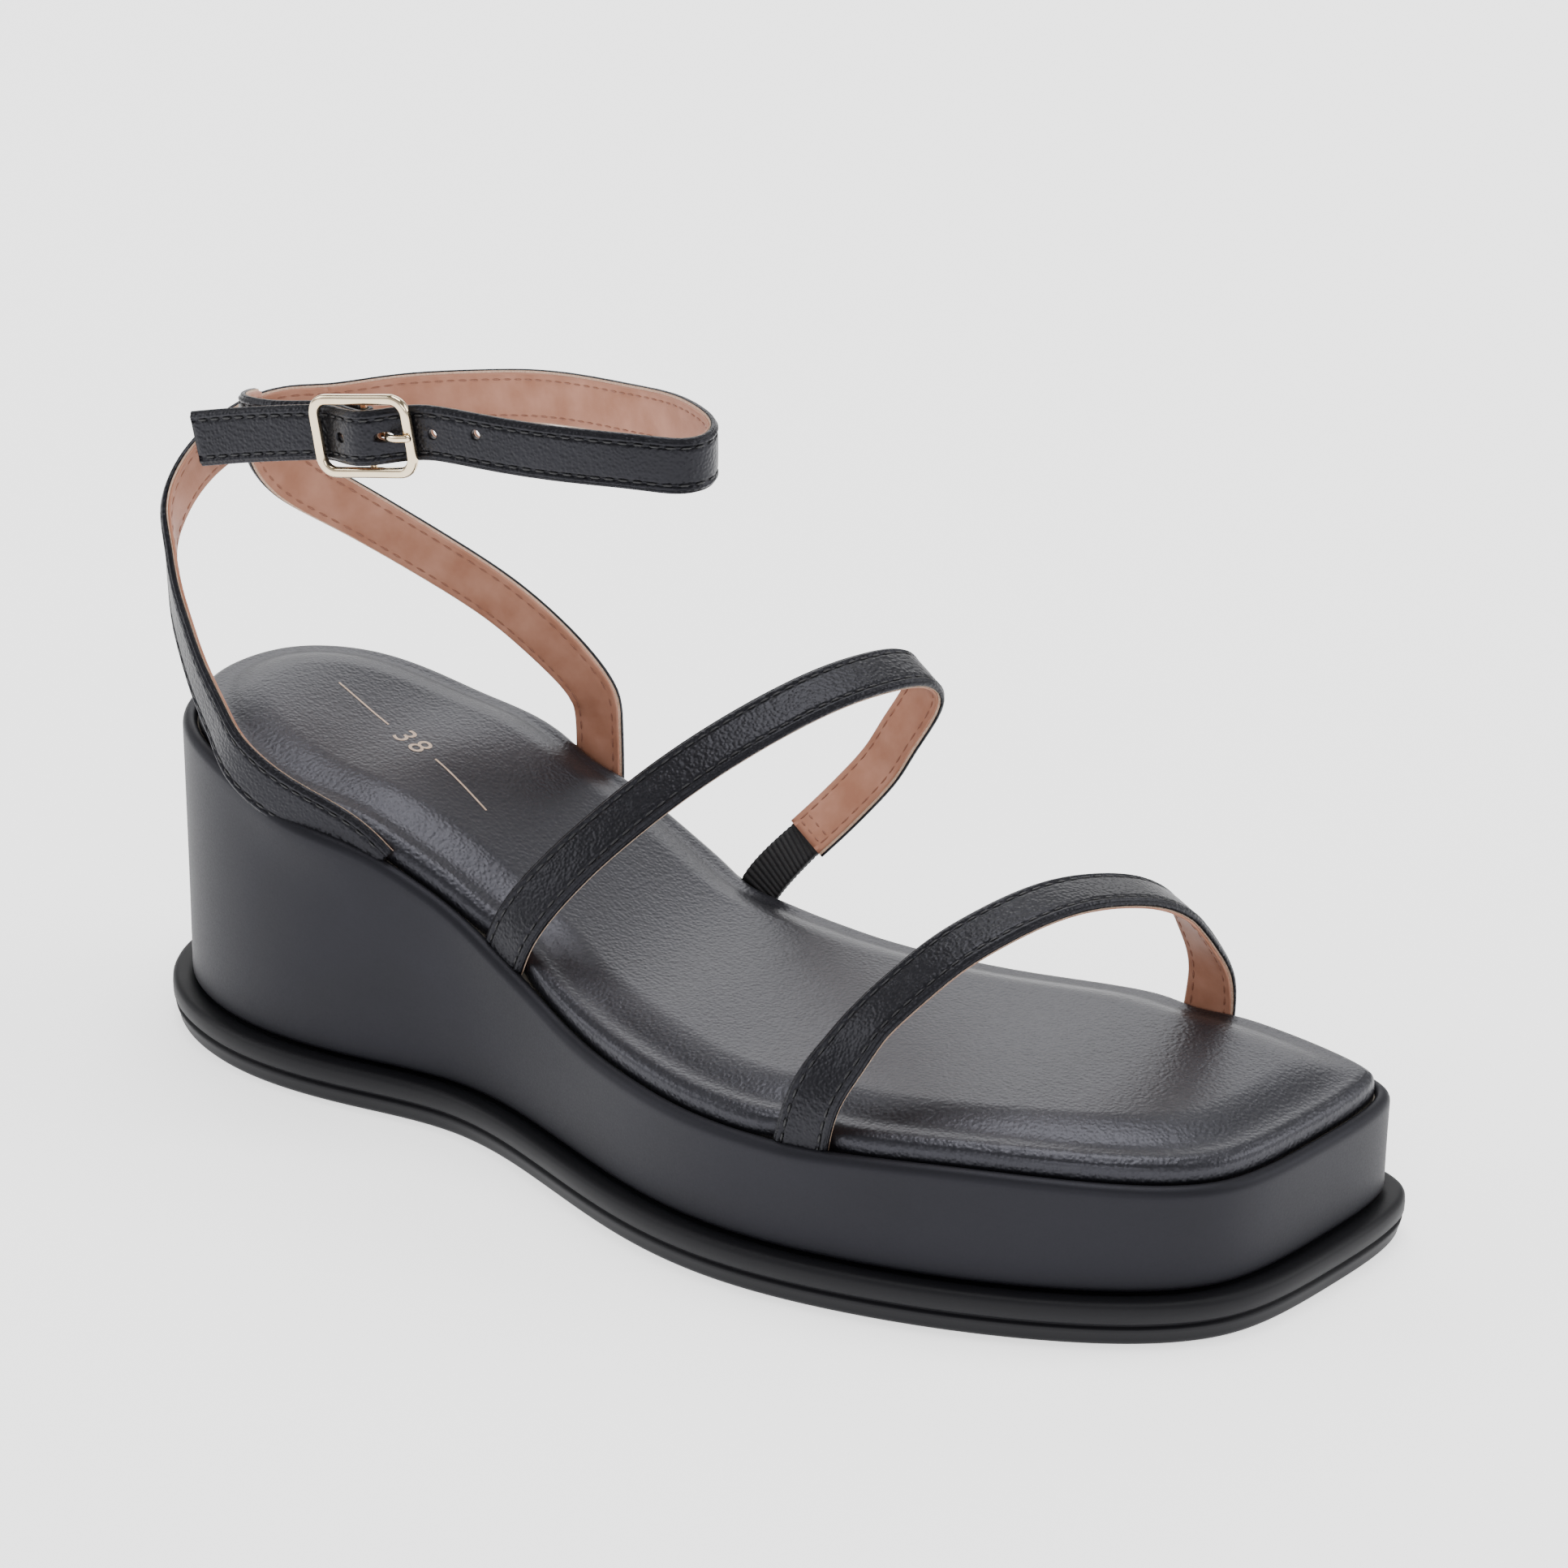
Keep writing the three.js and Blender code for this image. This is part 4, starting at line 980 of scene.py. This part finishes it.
# buckle frame: a rounded rectangle of round-shouldered wire, and the centre bar on two posts
def makeBuckle():
    half = buckle["rail"] / 2
    x, y, r = railAt, buckle["height"] / 2 - half, buckle["corner"] - half
    corners = []
    for sx, sy, start in ((1, 1, 0), (-1, 1, 90), (-1, -1, 180), (1, -1, 270)):
        for t in np.radians(np.linspace(start, start + 90, 7)):
            corners.append(onFrame(sx * (x - r) + r * math.cos(t), 0, sy * (y - r) + r * math.sin(t)))
        corners.append(onFrame(0, 0, sy * y) if sx == sy else onFrame(sx * x, 0))
    flatten = buckle["depth"] / buckle["rail"]
    wire = metalTube(corners, half, closed=True, flatten=flatten, square=2.6, steps=320)
    drop = buckle["drop"]
    post = [(-0.2, y), (-drop * 0.8, y - 0.25), (-drop, y - 1.2)]
    places = [*[(out, -up) for out, up in post], (-drop, 0), *post[::-1]]
    bar = metalTube([onFrame(0, out, up) for out, up in places], buckle["bar"], steps=80)
    return joinTubes("buckleFrame", [wire, bar])


# prong: an eye round the centre bar, an arm up through the strap, a tip resting on the rail
def makeProng():
    look = {"eyeWire": 0.4, "flat": 0.85, "tipFrom": 0.93, "tipThin": 0.35}
    drop, bar = buckle["drop"], buckle["bar"]
    rest = buckle["depth"] / 2 + buckle["prong"] * 0.8 + 0.05
    reach = bar + 0.15 + look["eyeWire"]
    turns = np.arange(14) / 14 * 2 * pi
    eye = metalTube([onFrame(reach * math.cos(t), -drop + reach * math.sin(t)) for t in turns],
                    look["eyeWire"], closed=True, steps=48)
    shape = ((bar + 0.4, -drop + 0.1), (3, -1.65), (4.3, -1.1), (5.6, 0.5), (7.1, rest - 0.1),
             (railAt - 0.8, rest), (railAt + 1.1, rest - 0.05))
    arm = metalTube(
        [onFrame(a, o) for a, o in shape], buckle["prong"], steps=90, flatten=look["flat"],
        taper=lambda t: 1 - look["tipThin"] * smooth((t - look["tipFrom"]) / (1 - look["tipFrom"])) ** 2)
    return joinTubes("buckleProng", [eye, arm])


# the strap's end folds round the centre bar in two tongues, one each side of the prong
def makeTab():
    look = {"width": 3.6, "thickness": 0.8, "apart": 2.95}
    top = -framePlane + strapUnder + 1.05
    drop = buckle["drop"]
    reach = buckle["bar"] + 0.15 + 0.42
    turn = [(reach * math.cos(t), -drop + reach * math.sin(t)) for t in np.radians(np.arange(105, -106, -35))]
    shape = [(-9.5, top - 0.5), (-7, top - 0.35), (-4.4, -2.6), *turn,
             (-3.6, -4.9), (-6.5, -6.1), (-10, -6.3), (-13.5, -6.3)]
    path = splineThrough([onFrame(a, o) for a, o in shape])
    run = runOf(path, lambda place, along: np.cross(along, np.broadcast_to(buckleUp, along.shape)), step=0.35)
    if np.dot(run["face"][len(run["face"]) // 2], onFrame(2, -drop) - onFrame(-4, -3.8)) < 0:
        run["face"] = -run["face"]
    profile = flatProfile(look["width"], -look["thickness"] / 2, look["thickness"] / 2)
    return [sweep("buckleTab" + name, run, profile, strapLeather, shift)
            for name, shift in (("Low", -look["apart"]), ("High", look["apart"]))]


buckleFrame = makeBuckle()
prong = makeProng()
tabs = makeTab()
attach(buckleFrame, "buckle")
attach(prong, "prong")
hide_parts("buckle_frame")
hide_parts("buckle_prong")
for piece in tabs:
    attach(piece, "ankle")
print("buckle made")

for piece in toeParts.values():
    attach(piece, "sole")
for piece in instepParts.values():
    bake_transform(piece)
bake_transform(gore)
outerBend, innerBend = longPath([6.0])[0], shortPath([3.0])[0]
outerWay = unit(longPath([6.4])[0] - longPath([5.6])[0])
innerWay = unit(shortPath([3.3])[0] - shortPath([2.7])[0])
for piece in rearParts.values():
    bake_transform(piece)
for piece in shortParts.values():
    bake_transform(piece)
bendFront = longPath([25.0])[0]
for piece in frontParts.values():
    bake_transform(piece)

coverings = {"wedge_core": wedgeFoam, "insole_board": fibreBoard}
for node, material in coverings.items():
    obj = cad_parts[node]
    obj.data.materials.clear()
    obj.data.materials.append(material)
print("bodies set")


def addLight(name, place, size, power):
    light = bpy.data.lights.new(name, "AREA")
    light.shape, light.size, light.size_y = "RECTANGLE", *size
    light.energy = power
    obj = addObject(name, light)
    way = Vector(studio["aim"]) - Vector(place)
    obj.matrix_world = Matrix.Translation(place) @ way.to_track_quat("-Z", "Y").to_matrix().to_4x4()
    obj.visible_camera = False


def makeStudio():
    mesh = bpy.data.meshes.new("floor")
    s = studio["floor"]
    mesh.from_pydata([(-s, -s, 0), (s, -s, 0), (s, s, 0), (-s, s, 0)], [], [(0, 1, 2, 3)])
    mesh.materials.append(evenMaterial("paintedStudioFloor", {
        "Base Color": hexColor("#f7f7f7"), "Roughness": 0.9, "Specular IOR Level": 0.1,
        "Emission Color": (1, 1, 1, 1), "Emission Strength": studio["floorGlow"],
    }))
    floor = addObject("floor", mesh)
    world = bpy.data.worlds.new("studio")
    bpy.context.scene.world = world
    world.use_nodes = True
    tree = world.node_tree
    # pale walls, darker overhead
    way = addNode(tree, "ShaderNodeTexCoord")
    split = addNode(tree, "ShaderNodeSeparateXYZ", {"Vector": way.outputs["Generated"]})
    fall = addNode(
        tree, "ShaderNodeMapRange", interpolation_type="SMOOTHSTEP",
        inputs={"Value": split.outputs["Z"], "From Min": 0.35, "From Max": 0.9,
                "To Min": studio["walls"], "To Max": studio["overhead"]})
    background = tree.nodes["Background"]
    background.inputs["Color"].default_value = (1, 1, 1, 1)
    tree.links.new(fall.outputs["Result"], background.inputs["Strength"])
    for light in studio["lights"]:
        addLight(*light)


studio = {
    "floor": 6.0,
    "floorGlow": 1.3,
    "walls": 0.6,
    "overhead": 0.15,
    "aim": (0, 0, 0.05),
    "lights": [
        ("leftBox", (-1.55, -0.75, 1.0), (1.2, 0.9), 13),
        ("rightBox", (1.35, 0.95, 1.0), (1.2, 0.9), 17),
        ("frontStrip", (0.85, -1.35, 0.75), (1.1, 0.3), 8),
        ("backBox", (-0.95, 1.5, 0.95), (1.9, 0.9), 15),
        ("topBox", (-0.1, 0.35, 2.6), (1.6, 1.6), 60),
    ],
}
camera = {"turn": 33.197, "down": 24.246, "roll": 0.53, "place": (0.5497, -0.82315, 0.5176), "lens": 135.47}


def makeCamera():
    data = bpy.data.cameras.new("camera")
    data.sensor_width, data.lens = 36.0, camera["lens"]
    data.clip_start, data.clip_end = 0.05, 50
    obj = addObject("camera", data)
    a, b, r = (math.radians(camera[key]) for key in ("turn", "down", "roll"))
    forward = Vector((-math.sin(a) * math.cos(b), math.cos(a) * math.cos(b), -math.sin(b)))
    right = Vector((math.cos(a), math.sin(a), 0))
    up = right.cross(forward)
    turnedRight = right * math.cos(r) + up * math.sin(r)
    turnedUp = up * math.cos(r) - right * math.sin(r)
    basis = Matrix((turnedRight, turnedUp, -forward)).transposed()
    obj.matrix_world = Matrix.Translation(camera["place"]) @ basis.to_4x4()
    bpy.context.scene.camera = obj


makeStudio()
makeCamera()
print("studio set")
